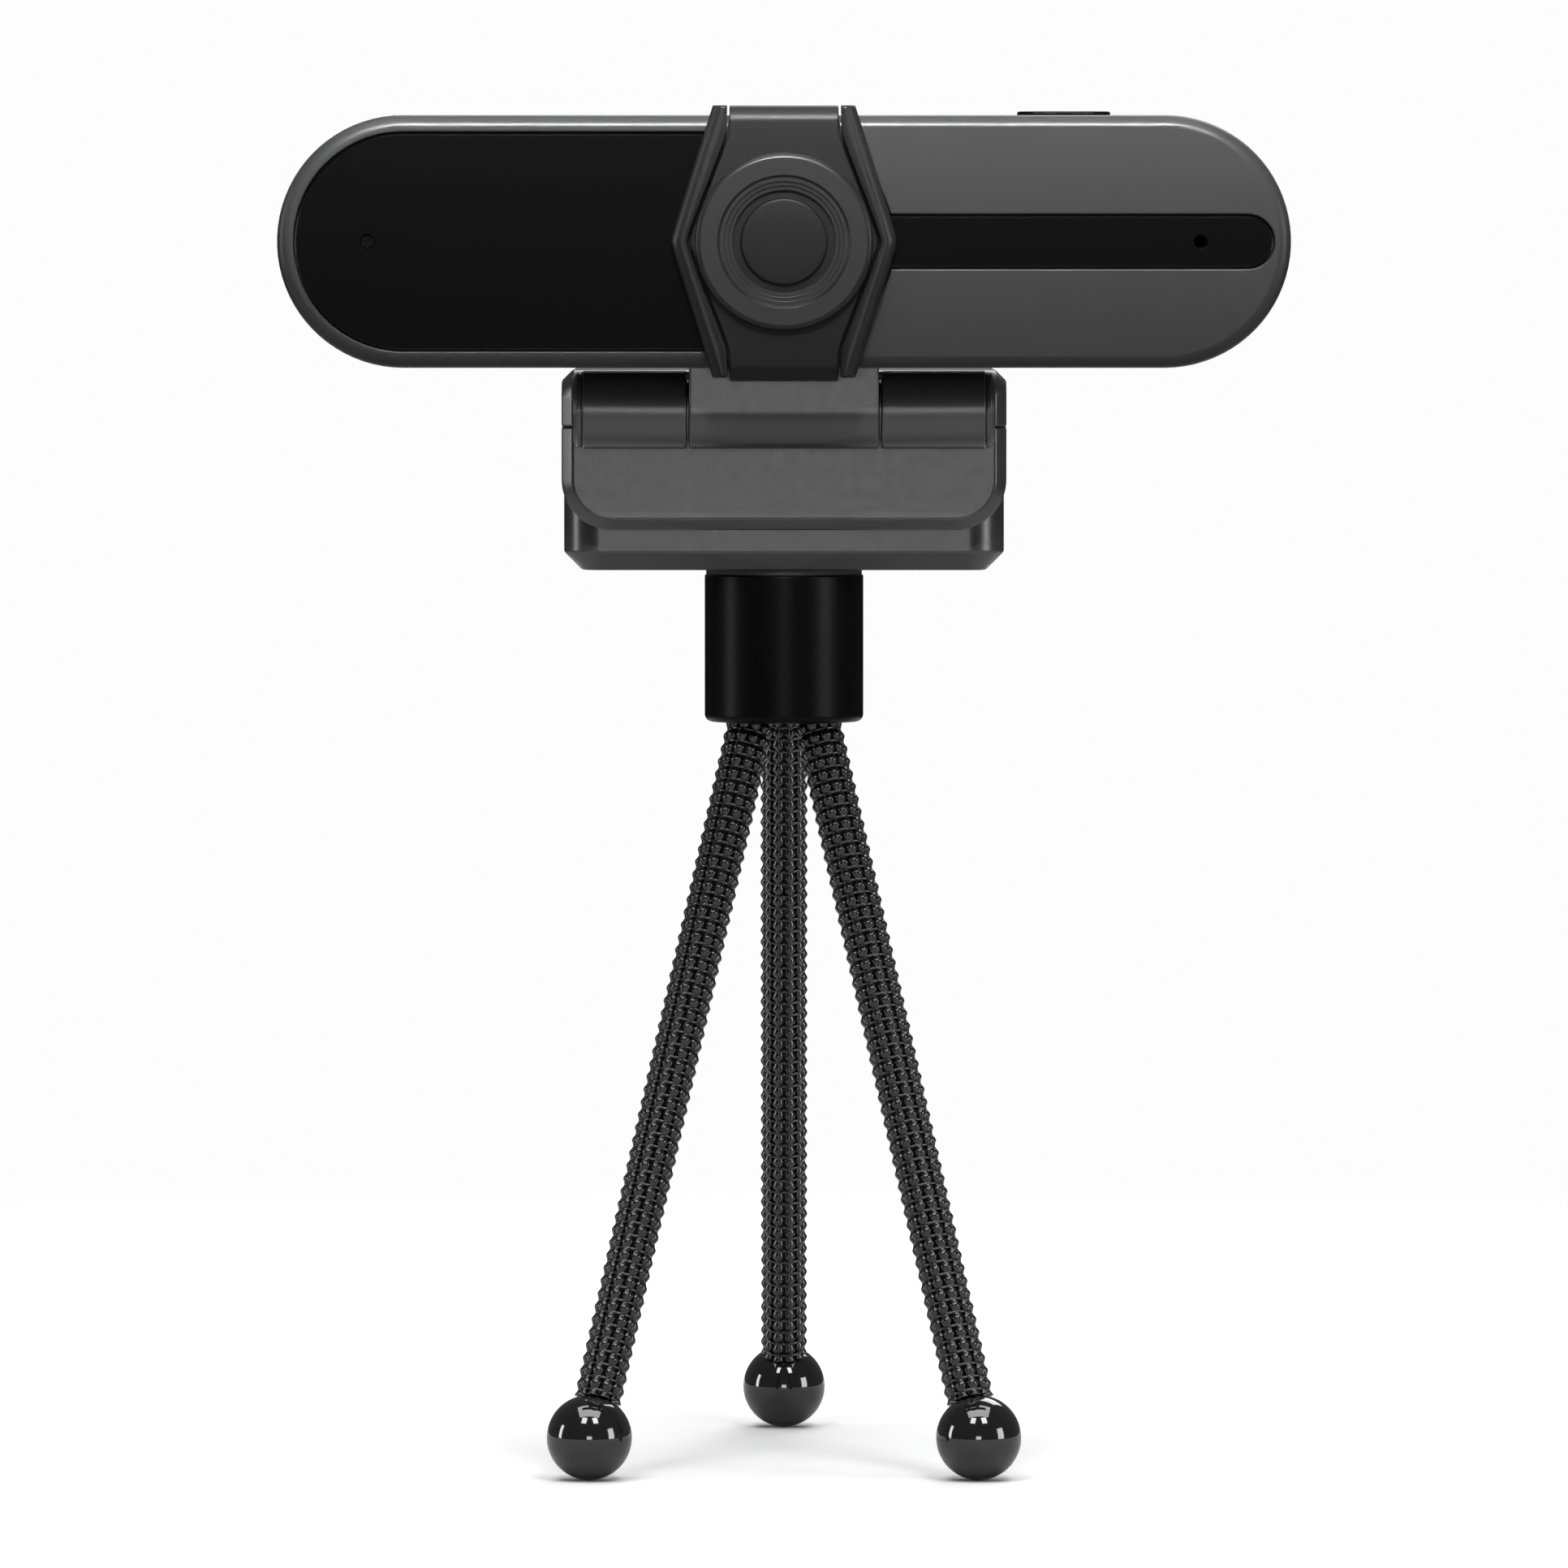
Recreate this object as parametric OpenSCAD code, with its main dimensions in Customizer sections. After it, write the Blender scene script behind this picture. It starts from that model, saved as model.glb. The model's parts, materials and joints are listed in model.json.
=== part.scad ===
// Webcam with a removable privacy cover and a folding clip, on a mini tripod with three bendable legs.
// Millimetres, +Z up, origin on the floor below the tripod's screw, lens towards -Y.

/* [Camera] */
// Length of the camera, end to end
body_len = 108.4; // [100:0.2:125]
// Height of the camera
body_h = 27; // [24:0.5:32]
// Depth of the camera, front face to back face
body_depth = 19; // [18:0.5:24]
// Wall of the rear shell
shell_wall = 1.6; // [1.2:0.1:2]
// Rounding of the rear shell's back edge
shell_round = 9; // [6:0.5:9.5]
// Depth of the front bezel
bezel_depth = 3; // [2.6:0.1:4]
// Width of the rim around the front insert
bezel_rim = 2.1; // [1.6:0.1:3]
// Height of the insert's narrow strip
strip_h = 5.2; // [4.6:0.1:9]
// Distance of the microphone and the status light from the lens axis
port_x = 44.5; // [36:0.5:46]
// Length of the top button
button_len = 10; // [8:0.5:12]
// Distance of the top button from the lens axis
button_x = 30; // [24:0.5:34]
// Height of the top button above the shell, which is its travel
button_rise = 0.45; // [0.3:0.05:0.8]

/* [Lens] */
// Outer diameter of the bright ring
lens_ring_d = 18.4; // [17:0.1:20]
// Diameter of the glass window inside the ring
window_d = 13.8; // [13:0.1:15]
// Diameter of the lens barrel
barrel_d = 10.3; // [9:0.1:11]
// Diameter of the barrel's front opening
hood_d = 8.3; // [7:0.1:8.6]
// How far the bright ring stands out of the face
ring_rise = 0.5; // [0.2:0.1:1]

/* [Privacy cover] */
// Width of the cover across its side corners
cover_w = 24.4; // [22:0.2:28]
// Width of the cover at its top and bottom
cover_end_w = 15.2; // [13:0.2:18]
// Width of the strap at its top and bottom
strap_w = 11.6; // [10:0.2:13]
// Outer diameter of the round cap's ring
cap_ring_d = 19; // [17:0.2:20]
// Length of the flaps that grip the camera's top and bottom
flap_len = 6.3; // [4:0.1:6.6]
// Thickness of the strap
strap_t = 0.85; // [0.7:0.05:1.2]

/* [Clip] */
// Width of the foot and of the panel
clip_w = 48.3; // [44:0.1:56]
// Depth of the foot, without its hinge
foot_depth = 30.5; // [28:0.5:38]
// Height of the foot
foot_h = 12.2; // [11:0.1:15]
// Thickness of the panel
panel_h = 8.3; // [7.5:0.1:10]
// Bevel along the foot's lower edges
foot_bevel = 2; // [1:0.1:2.6]
// Bevel along the panel's upper edges and the lip's front edge
panel_bevel = 1.2; // [0.6:0.1:1.8]
// Rounding from the panel's top over to the lip
nose_r = 3; // [2:0.1:3.6]
// Wall of the foot and the panel
clip_wall = 2; // [1.6:0.1:2.4]
// Corner radius of the lip plate
lip_r = 5.5; // [3:0.1:7]
// Thickness of the lip plate
lip_t = 3.6; // [3:0.1:4.5]
// How far the lip hangs below the camera
lip_drop = 17.8; // [15:0.1:20]
// Diameter of the tilt hinge's barrel
knuckle_d = 8.4; // [7.6:0.1:9]
// Length of the tilt hinge, over its end caps
knuckle_len = 45.4; // [42:0.2:48]
// Width of the camera's neck
neck_w = 20.4; // [18:0.2:24]
// Reach of the arms, from the tilt axis to the lip's face
arm_len = 9; // [8:0.1:12]
// Diameter of the steel hinge pins
pin_d = 2.4; // [2:0.1:3]

/* [Tripod] */
// Diameter of the collar
collar_d = 17.4; // [17:0.1:22]
// Height of the collar
collar_h = 16.8; // [14:0.1:24]
// Height of the collar's underside above the middle of the ball feet
leg_h = 76.3; // [60:0.1:110]
// Distance between the two front feet
foot_span = 42; // [36:0.5:56]
// Outer diameter of a leg's braided sleeve
sleeve_d = 5.2; // [4.6:0.1:6]
// Diameter of a leg's bendable core
core_d = 3; // [2.4:0.1:3.2]
// Diameter of the ball feet
ball_d = 9.2; // [8:0.1:12]

/* [Fits] */
// Gap between fixed pieces that nest in each other
nest = 0.1; // [0.05:0.05:0.2]
// Radial clearance of pieces that turn on each other
turn = 0.05; // [0.03:0.01:0.09]

/* [Hidden] */

// Colours
CHARCOAL = [0.13, 0.13, 0.135];
BLACK = [0.03, 0.03, 0.032];
SILVER = [0.86, 0.86, 0.87];
STEEL = [0.6, 0.6, 0.62];

// Heights, from the floor up
ball_r = ball_d / 2;
collar_z = ball_r + leg_h;
foot_z = collar_z + collar_h;
foot_top = foot_z + foot_h;
pad_rise = 0.6;
pad_gap = 0.2;
panel_z = foot_top + 2 * pad_rise + pad_gap;
panel_top = panel_z + panel_h;
body_gap = 0.4;
body_z = panel_top + body_gap;
body_top = body_z + body_h;
lens_z = body_z + body_h / 2;
tilt_z = body_z - body_gap - knuckle_d / 2;
lip_z = body_z - lip_drop;

// Depths, from the tripod's screw forwards and backwards
collar_margin = 0.3;
foot_y = -(collar_d / 2 + foot_bevel + collar_margin);
foot_back = foot_y + foot_depth;
fold_d = 6.8;
fold_y = foot_back + 5;
fold_z = foot_top - 2.4;
pad_t = 0.5;
lip_clear = 0.4;
lip_y = foot_y - lip_clear - pad_t - lip_t;
tilt_y = lip_y - arm_len;
neck_set = 7.3;
body_y = tilt_y - knuckle_d / 2 - neck_set;

// Camera shapes
end_x = body_len / 2 - body_h / 2;
insert_r = body_h / 2 - bezel_rim;
insert_t = 1.4;
insert_gap = 0.3;
strip_end_x = body_len / 2 - bezel_rim - strip_h / 2;
shell_inset = 0.4;
bezel_floor = bezel_depth - insert_t;
board_y = body_y + body_depth - 5.5;
board_t = 1.2;
board_margin = 2;
board_h = body_h - 2 * (shell_inset + shell_wall + board_margin);
port_edge = 1.5;
board_len = 2 * (port_x + port_edge);
button_w = 4;
rib_len = 1.5;
button_y = body_y + bezel_depth + rib_len + button_w / 2 + 0.7;
post_x = 20;
post_edge = 2.7;
post_dz = board_h / 2 - post_edge;
hood_depth = 5;
holder_w = 15;

// Privacy cover
cover_stand = ring_rise + 0.1;
flap_clear = 0.15;
frame_floor = 0.5;
plate_t = 1.1;
ring_t = 1.3;
frame_t = 2.1;
cover_back = body_y - cover_stand;
strap_back = cover_back - frame_floor - 0.02;
cover_front = strap_back - plate_t - ring_t;
frame_rise = 1;
strap_low = 1.4;

// Tripod: the feet reach as far back as the cover reaches forward, so that the head is balanced
collar_wall = 2;
root_r = collar_d / 2 - collar_wall - sleeve_d / 2 + 0.1;
foot_reach = -cover_front - ball_r;
root_angles = [210, -30, 90];
run = foot_reach - root_r;
front_y = root_r / 2 + sqrt(pow(run, 2) - pow(foot_span / 2 - root_r * cos(30), 2));
feet = [[-foot_span / 2, -front_y], [foot_span / 2, -front_y], [0, foot_reach]];
leg_len = sqrt(pow(run, 2) + pow(leg_h, 2));
leg_lean = atan2(run, leg_h);
root_pivot = 3.2;
mid_pivot = leg_len * 0.5;
stud_d = 6.35;
stud_len = 6.5;
head_ledge = 1.2;
stud_head_d = collar_d - 2 * (collar_wall + head_ledge);
stud_head_t = 2.3;

// Cuts run this far past a face
past = 1;

// Flat outline with full round ends, centred on the origin, in the XY plane
module stadium(l, h) {
  square([l - h, h], center = true);
  for (s = [-1, 1]) translate([s * (l - h) / 2, 0]) circle(d = h, $fn = 96);
}

// Rectangle with round corners, centred on the origin
module round_rect(w, h, r) {
  square([w - 2 * r, h], center = true);
  square([w, h - 2 * r], center = true);
  for (sx = [-1, 1], sy = [-1, 1])
    translate([sx * (w / 2 - r), sy * (h / 2 - r)]) circle(r = r, $fn = 32);
}

// Stands a flat XY outline up, facing -Y: X stays X, Y becomes Z, and it runs back from y0 for t
module facing(y0, t) translate([0, y0 + t, lens_z]) rotate([90, 0, 0]) linear_extrude(t) children();

// A cylinder along Y, from y0 for t
module along_y(x, z, y0, t, d, d2 = -1)
  translate([x, y0, z]) rotate([-90, 0, 0])
    cylinder(h = t, d1 = d, d2 = d2 < 0 ? d : d2, $fn = 64);

// A cylinder along X, centred on x
module along_x(x, y, z, t, d)
  translate([x, y, z]) rotate([0, 90, 0]) cylinder(h = t, d = d, center = true, $fn = 64);

// A box from its lowest corner to its highest
module span(a, b) translate(a) cube(b - a);

// Half section of a rounded slab: radius outwards along X, depth along Y, with a front and a back rounding
module half_section(r, depth, front, back) {
  translate([0, front]) square([r, depth - front - back]);
  square([r - front, front + 0.001]);
  translate([0, depth - back - 0.001]) square([r - back, back + 0.001]);
  intersection() {
    translate([r - front, front]) circle(r = front, $fn = 64);
    translate([r - front, 0]) square([front, front + 0.001]);
  }
  intersection() {
    translate([r - back, depth - back]) circle(r = back, $fn = 96);
    translate([r - back, depth - back - 0.001]) square([back, back + 0.001]);
  }
}

// Long slab with full round ends and rounded edges, front face at y0
module pill(l, h, y0, depth, front, back) {
  mid = l / 2 - h / 2;
  for (s = [-1, 1])
    translate([s * mid, y0, lens_z]) rotate([-90, 0, 0]) rotate_extrude($fn = 96)
      half_section(h / 2, depth, front, back);
  translate([-mid, y0, lens_z]) rotate([90, 0, 90]) linear_extrude(2 * mid)
    rotate(-90) for (s = [0, 1]) mirror([s, 0]) half_section(h / 2, depth, front, back);
}

// Outline of the keyhole-shaped insert, grown by g
module keyhole(g) {
  r = insert_r + g;
  left = -end_x;
  translate([left, 0]) circle(r = r, $fn = 96);
  circle(r = r, $fn = 96);
  translate([left, -r]) square([-left, 2 * r]);
  translate([0, -strip_h / 2 - g]) square([strip_end_x, strip_h + 2 * g]);
  translate([strip_end_x, 0]) circle(r = strip_h / 2 + g, $fn = 64);
}

// ---- Camera ----

module front_bezel() color(CHARCOAL) {
  difference() {
    pill(body_len, body_h, body_y, bezel_depth, 1.4, 0.2);
    facing(body_y - past, insert_t + past) keyhole(insert_gap);
    along_y(0, lens_z, body_y, bezel_depth + past, window_d - 1);
    along_y(-port_x, lens_z, body_y, bezel_depth + past, 1.8);
    along_y(port_x, lens_z, body_y, bezel_depth + past, 1.4);
  }
  // Posts for the board, and a rib that locates the rear shell
  for (sx = [-1, 1], sz = [-1, 1]) board_post(sx * post_x, lens_z + sz * post_dz);
  rib_h = body_h - 2 * (shell_inset + shell_wall + nest);
  difference() {
    facing(body_y + bezel_depth - 0.1, rib_len + 0.1) stadium(body_len - body_h + rib_h, rib_h);
    facing(body_y + bezel_depth - past, rib_len + 2 * past)
      stadium(body_len - body_h + rib_h - 2, rib_h - 2);
  }
}

module board_post(x, z) {
  start = body_y + bezel_depth - 0.1;
  difference() {
    along_y(x, z, start, board_y - start, 4);
    along_y(x, z, start + 2, board_y - start, 1.6);
  }
}

module front_insert() color(BLACK) difference() {
  facing(body_y, insert_t - 0.05) keyhole(0);
  along_y(0, lens_z, body_y - past, insert_t + 2 * past, lens_ring_d + 2 * nest);
  along_y(-port_x, lens_z, body_y - past, insert_t + 2 * past, 1.6);
  along_y(port_x, lens_z, body_y - past, insert_t + 2 * past, 1.4);
}

module lens_ring() color(SILVER) difference() {
  union() {
    along_y(0, lens_z, body_y - ring_rise, 0.4, lens_ring_d - 0.8, lens_ring_d);
    along_y(0, lens_z, body_y - ring_rise + 0.4, insert_t + ring_rise - 0.45, lens_ring_d);
  }
  along_y(0, lens_z, body_y - ring_rise - 0.01, 0.7, window_d + 1.2, window_d);
  along_y(0, lens_z, body_y - past, insert_t + 2 * past, window_d);
}

module lens_window() color([0.35, 0.4, 0.45, 0.4])
  along_y(0, lens_z, body_y + 0.1, 0.6, window_d - 2 * nest);

module lens_faceplate() color(BLACK) difference() {
  along_y(0, lens_z, body_y + 0.75, insert_t - 0.85, window_d - 2 * nest);
  along_y(0, lens_z, body_y, insert_t + past, barrel_d + 2 * nest);
}

barrel_front = body_y + 0.8;
barrel_len = board_y - barrel_front - 2.4;

module lens_barrel() color([0.62, 0.6, 0.57]) difference() {
  along_y(0, lens_z, barrel_front, barrel_len, barrel_d);
  along_y(0, lens_z, barrel_front - past, hood_depth + past, hood_d);
  along_y(0, lens_z, barrel_front, barrel_len + past, 5.6);
}

// Five stepped baffle rings that narrow towards the glass
module lens_hood() color(BLACK) difference() {
  along_y(0, lens_z, barrel_front + 0.1, hood_depth - 0.15, hood_d - 2 * nest);
  for (i = [0:4])
    along_y(0, lens_z, barrel_front + i * (hood_depth - 0.4) / 5, hood_depth, hood_d - 0.9 - i * 0.85);
}

module front_element() color([0.2, 0.25, 0.45, 0.5]) {
  y0 = barrel_front + hood_depth + 0.05;
  along_y(0, lens_z, y0, 1.4, 5.4);
}

module rear_element() color([0.25, 0.35, 0.3, 0.5])
  along_y(0, lens_z, barrel_front + barrel_len - 1.6, 1.2, 5.4);

module lens_holder() color(BLACK) difference() {
  h = 6.2;
  facing(board_y - h, h - 0.05) round_rect(holder_w, holder_w, 1.2);
  along_y(0, lens_z, board_y - h - past, h - 2.2 + past, barrel_d + 2 * nest);
  facing(board_y - 2.3, 2.3 + past) square(10.6, center = true);
}

module ir_filter() color([0.4, 0.15, 0.2, 0.5])
  facing(board_y - 1.95, 0.3) square(6, center = true);

module image_sensor() color([0.1, 0.12, 0.1])
  facing(board_y - 1.3, 1.25) square(8.4, center = true);

module main_board() color([0.03, 0.22, 0.1]) difference() {
  facing(board_y, board_t) stadium(board_len, board_h);
  for (sx = [-1, 1], sz = [-1, 1])
    along_y(sx * post_x, lens_z + sz * post_dz, board_y - past, board_t + 2 * past, 2);
}

module board_screws() color(STEEL)
  for (sx = [-1, 1], sz = [-1, 1]) {
    x = sx * post_x;
    z = lens_z + sz * post_dz;
    difference() {
      union() {
        along_y(x, z, board_y - 4, 4 + board_t + 0.1, 1.5);
        along_y(x, z, board_y + board_t + 0.02, 0.9, 3.2);
      }
      cross_slot(x, z, board_y + board_t + 0.5);
    }
  }

module cross_slot(x, z, y0) {
  span([x - 0.9, y0, z - 0.2], [x + 0.9, y0 + past, z + 0.2]);
  span([x - 0.2, y0, z - 0.9], [x + 0.2, y0 + past, z + 0.9]);
}

module microphone() color(STEEL)
  facing(board_y - 1.3, 1.25) translate([port_x, 0]) square([3.6, 2.8], center = true);

module mic_gasket() color(BLACK) difference() {
  start = body_y + bezel_depth + 0.05;
  len = board_y - 1.4 - start;
  along_y(port_x, lens_z, start, len, 4.2);
  along_y(port_x, lens_z, start - past, len + 2 * past, 1.4);
}

module status_led() color([0.85, 0.9, 0.85])
  facing(board_y - 0.8, 0.75) translate([-port_x, 0]) square([1.6, 1.2], center = true);

module light_pipe() color([0.75, 0.8, 0.85, 0.5]) {
  start = body_y + 0.5;
  along_y(-port_x, lens_z, start, bezel_depth - 0.5 + 0.3, 1.5);
  along_y(-port_x, lens_z, body_y + bezel_depth + 0.05, board_y - 1 - body_y - bezel_depth, 3);
}

// The switch stands on a small board of its own, in front of the main one
module button_switch() color([0.15, 0.15, 0.15]) {
  top = body_top - shell_wall - 3.1;
  span([button_x - 4, button_y - 2.2, top - 3.2], [button_x + 4, board_y - 0.05, top - 2.4]);
  span([button_x - 3, button_y - 1.8, top - 2.41], [button_x + 3, button_y + 1.8, top - 0.3]);
  translate([button_x, button_y, top - 0.31]) cylinder(h = 0.5, d = 2, $fn = 32);
}

button_slot = 0.12;

module top_button() color(BLACK) {
  translate([button_x, button_y, body_top - shell_inset - shell_wall - 0.1])
    linear_extrude(shell_wall + 0.1 + shell_inset + button_rise) stadium(button_len, button_w);
  translate([button_x, button_y, body_top - shell_inset - shell_wall - 0.85])
    linear_extrude(0.8) stadium(button_len + 1.4, button_w + 1);
  translate([button_x, button_y, body_top - shell_wall - 2.4])
    cylinder(h = 1.4, d = 2.4, $fn = 32);
}

shell_y = body_y + bezel_depth + 0.05;
shell_depth = body_depth - bezel_depth - 0.05;
gland_z = lens_z;

module rear_shell() color(CHARCOAL) {
  l = body_len - 2 * shell_inset;
  h = body_h - 2 * shell_inset;
  difference() {
    pill(l, h, shell_y, shell_depth, 0.2, shell_round);
    pill(l - 2 * shell_wall, h - 2 * shell_wall, shell_y - past, shell_depth + past - shell_wall,
      0.2, shell_round - shell_wall);
    translate([button_x, button_y, lens_z])
      linear_extrude(body_h) stadium(button_len + 2 * button_slot, button_w + 2 * button_slot);
    span([-neck_w / 2 - nest, tilt_y - knuckle_d / 2 - nest, body_z - past],
      [neck_w / 2 + nest, tilt_y + knuckle_d / 2 + nest, flange_z + flange_t + nest]);
    along_y(0, gland_z, body_y + body_depth - shell_wall - past, shell_wall + 2 * past,
      gland_neck_d + 2 * nest);
  }
}

// The neck's barrel turns on the tilt pin, and its flange is screwed down inside the shell
flange_z = body_z + shell_inset + shell_wall + 0.6;
neck_flange = 3;
flange_t = 1.4;
flange_depth = 5;

module neck() color(CHARCOAL) difference() {
  union() {
    along_x(0, tilt_y, tilt_z, neck_w, knuckle_d);
    span([-neck_w / 2, tilt_y - knuckle_d / 2, tilt_z],
      [neck_w / 2, tilt_y + knuckle_d / 2, flange_z + flange_t]);
    span([-neck_w / 2 - neck_flange, tilt_y - knuckle_d / 2, flange_z],
      [neck_w / 2 + neck_flange, tilt_y - knuckle_d / 2 + flange_depth, flange_z + flange_t]);
  }
  along_x(0, tilt_y, tilt_z, neck_w + past, pin_d + 2 * turn);
  for (s = [-1, 1])
    translate([s * (neck_w / 2 + neck_flange / 2), tilt_y - knuckle_d / 2 + 2, flange_z - past])
      cylinder(h = 4, d = 1.7, $fn = 32);
}

module neck_screws() color(STEEL)
  for (s = [-1, 1]) translate([s * (neck_w / 2 + neck_flange / 2), tilt_y - knuckle_d / 2 + 2, 0]) {
    translate([0, 0, flange_z + 0.02]) cylinder(h = 1.5, d = 1.5, $fn = 32);
    translate([0, 0, flange_z + flange_t + 0.05]) cylinder(h = 0.8, d = 2.8, $fn = 32);
  }

gland_neck_d = 5.2;
gland_bore_d = 3.8;
gland_out = 1;

module cable_gland() color(BLACK) {
  back = body_y + body_depth;
  difference() {
    union() {
      along_y(0, gland_z, back - shell_wall - 1, shell_wall + 1 + gland_out, gland_neck_d);
      along_y(0, gland_z, back + 0.02, gland_out - 0.02, 7);
      along_y(0, gland_z, back - shell_wall - 1, 0.95, 7);
    }
    along_y(0, gland_z, back - shell_wall - 1 - past, shell_wall + 2 + gland_out + past, gland_bore_d);
  }
}

// ---- Privacy cover ----

// Six-sided outline, with half widths at the middle and at the ends, and half the height
module hexagon(mid, end, up, down)
  polygon([[-end, up], [end, up], [mid, 0], [end, -down], [-end, -down], [-mid, 0]]);

// Outline of the strap's front plate: straight for a stretch at both ends, then six-sided
module strap_outline(g) {
  mid = cover_w / 2 - 2 + g;
  end = strap_w / 2 + g;
  knee = body_h / 2 - 2;
  polygon([[-end, knee], [end, knee], [mid, 0], [end, -knee], [-end, -knee], [-mid, 0]]);
  square([2 * end, body_h + 6], center = true);
}

module flap(w, z0, t)
  span([-w / 2, strap_back - plate_t, z0], [w / 2, body_y + flap_len, z0 + t]);

// Frame round the strap: a thin floor behind the strap joins its two sides
module cover_frame() color(CHARCOAL) {
  up = body_h / 2 + frame_rise;
  difference() {
    facing(cover_back - frame_t, frame_t) hexagon(cover_w / 2, cover_end_w / 2, up, up);
    facing(cover_back - frame_t - past, frame_t + past - frame_floor) strap_outline(nest);
    along_y(0, lens_z, cover_back - frame_t, frame_t + past, cap_ring_d - 2);
    for (s = [-1, 1]) translate([0, 0, lens_z + s * (body_h / 2 + 5)])
      cube([strap_w + 2 * nest, 100, 10], center = true);
  }
  for (s = [-1, 1]) {
    x0 = s > 0 ? strap_w / 2 + nest : -cover_end_w / 2;
    x1 = s > 0 ? cover_end_w / 2 : -strap_w / 2 - nest;
    span([x0, cover_back - 0.5, body_top + flap_clear], [x1, body_y + flap_len, body_top + frame_rise]);
    span([x0, cover_back - 0.5, body_z - frame_rise], [x1, body_y + flap_len, body_z - flap_clear]);
  }
}

module cover_strap() color(CHARCOAL) {
  top = body_top + flap_clear + strap_t;
  difference() {
    intersection() {
      facing(strap_back - plate_t, plate_t) strap_outline(0);
      span([-cover_w, cover_front - past, body_z - strap_low], [cover_w, cover_back, top]);
    }
    along_y(0, lens_z, strap_back - plate_t - past, plate_t + 2 * past, cap_ring_d - 2);
  }
  flap(strap_w, body_top + flap_clear, strap_t);
  flap(strap_w, body_z - strap_low, strap_low - flap_clear);
}

cap_d = 9.3;

// Round cap: a flat band, then shallow steps down to a groove round the middle
module cover_ring() color(CHARCOAL) difference() {
  depth = ring_t + plate_t;
  union() {
    along_y(0, lens_z, cover_front, 0.3, cap_ring_d - 0.6, cap_ring_d);
    along_y(0, lens_z, cover_front + 0.29, ring_t - 0.31, cap_ring_d);
    along_y(0, lens_z, cover_front + 0.5, depth - 0.5, cap_ring_d - 2 - 2 * nest);
  }
  along_y(0, lens_z, cover_front - 0.01, 0.35, cap_ring_d - 3.4, cap_ring_d - 4.2);
  for (i = [0:2])
    along_y(0, lens_z, cover_front - past, past + 0.5 + i * 0.3, cap_ring_d - 4.6 - i * 1.3);
  along_y(0, lens_z, cover_front - past, past + depth - 0.6, cap_d + 1.4);
  along_y(0, lens_z, cover_front - past, depth + 2 * past, cap_d + 2 * nest);
}

module cover_cap() color(BLACK) {
  along_y(0, lens_z, cover_front + 0.75, 0.25, cap_d - 0.6, cap_d);
  along_y(0, lens_z, cover_front + 0.99, plate_t + ring_t - 1.01, cap_d);
}

// ---- Clip ----

side_gap = 0.3;
arm_top = knuckle_d / 2 - 0.4;
seam_rise = 2.1;
seam_z = panel_z + seam_rise;
arm_low = tilt_z - seam_z;
arm_x0 = neck_w / 2 + side_gap;
arm_x1 = knuckle_len / 2 - 1.3;
cap_t = 1;
tongue_y = lip_y + lip_t + 4.4;
tongue_z = seam_z - 0.4;
tongue_t = 2.8;

// Arms that carry the tilt hinge, grown by g where the panel makes room for them
module arms(g) for (s = [-1, 1]) {
  x0 = s > 0 ? arm_x0 : -arm_x1;
  x1 = s > 0 ? arm_x1 : -arm_x0;
  span([x0 - g, tilt_y, tilt_z - arm_low - g], [x1 + g, tongue_y + g, tilt_z + arm_top + g]);
}

// Tongue behind the lip, which the panel is screwed to
module tongue(g)
  span([-arm_x1 - g, lip_y + 1.6 - g, tongue_z - g], [arm_x1 + g, tongue_y + g, tongue_z + tongue_t + g]);

// Lip: flat front, bevelled all round, with round lower corners
module lip_plate() {
  x = clip_w / 2 - lip_r;
  top = seam_z - 0.05;
  c = panel_bevel;
  difference() {
    union() for (s = [-1, 1]) {
      along_y(s * x, lip_z + lip_r, lip_y + c, lip_t - c, 2 * lip_r);
      along_y(s * x, lip_z + lip_r, lip_y, c, 2 * (lip_r - c), 2 * lip_r);
    }
    span([-x, lip_y - past, lip_z - past], [x, lip_y + lip_t + past, top]);
  }
  // Long stretch between the corners, then the stretch above them
  translate([-x, 0, 0]) rotate([90, 0, 90]) linear_extrude(2 * x)
    polygon([[lip_y + c, lip_z], [lip_y, lip_z + c], [lip_y, top],
      [lip_y + lip_t, top], [lip_y + lip_t, lip_z]]);
  translate([0, 0, lip_z + lip_r]) linear_extrude(top - lip_z - lip_r)
    polygon([[-clip_w / 2, lip_y + c], [-clip_w / 2 + c, lip_y], [clip_w / 2 - c, lip_y],
      [clip_w / 2, lip_y + c], [clip_w / 2, lip_y + lip_t], [-clip_w / 2, lip_y + lip_t]]);
}

bracket_knuckle = knuckle_len / 2 - cap_t - arm_x0;
panel_screw_x = 14;

module clip_bracket() color(CHARCOAL) difference() {
  union() {
    for (s = [-1, 1])
      along_x(s * (arm_x0 + bracket_knuckle / 2), tilt_y, tilt_z, bracket_knuckle, knuckle_d);
    arms(0);
    tongue(0);
    lip_plate();
  }
  along_x(0, tilt_y, tilt_z, knuckle_len + past, pin_d + 2 * turn);
  // Each arm is a channel, open on its outer side
  for (s = [-1, 1]) translate([s * arm_x1, tilt_y + knuckle_d / 2 + 0.4, seam_z + 1.2])
    translate([-3, 0, 0]) cube([6, arm_len - knuckle_d / 2 - 0.4, arm_top + arm_low - 2.4]);
  for (s = [-1, 1]) translate([s * panel_screw_x, tongue_y - 2, tongue_z - past])
    cylinder(h = past + 2, d = 1.3, $fn = 32);
}

module lip_pad() color(BLACK)
  translate([0, lip_y + lip_t + pad_t, (lip_z + foot_top) / 2 - 0.6]) rotate([90, 0, 0])
    linear_extrude(pad_t - 0.02) round_rect(clip_w - 10, foot_top - lip_z - 2.2, 1.5);

module tilt_pin() color(STEEL)
  along_x(0, tilt_y, tilt_z, knuckle_len - 2 * cap_t - 0.1, pin_d);

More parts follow.
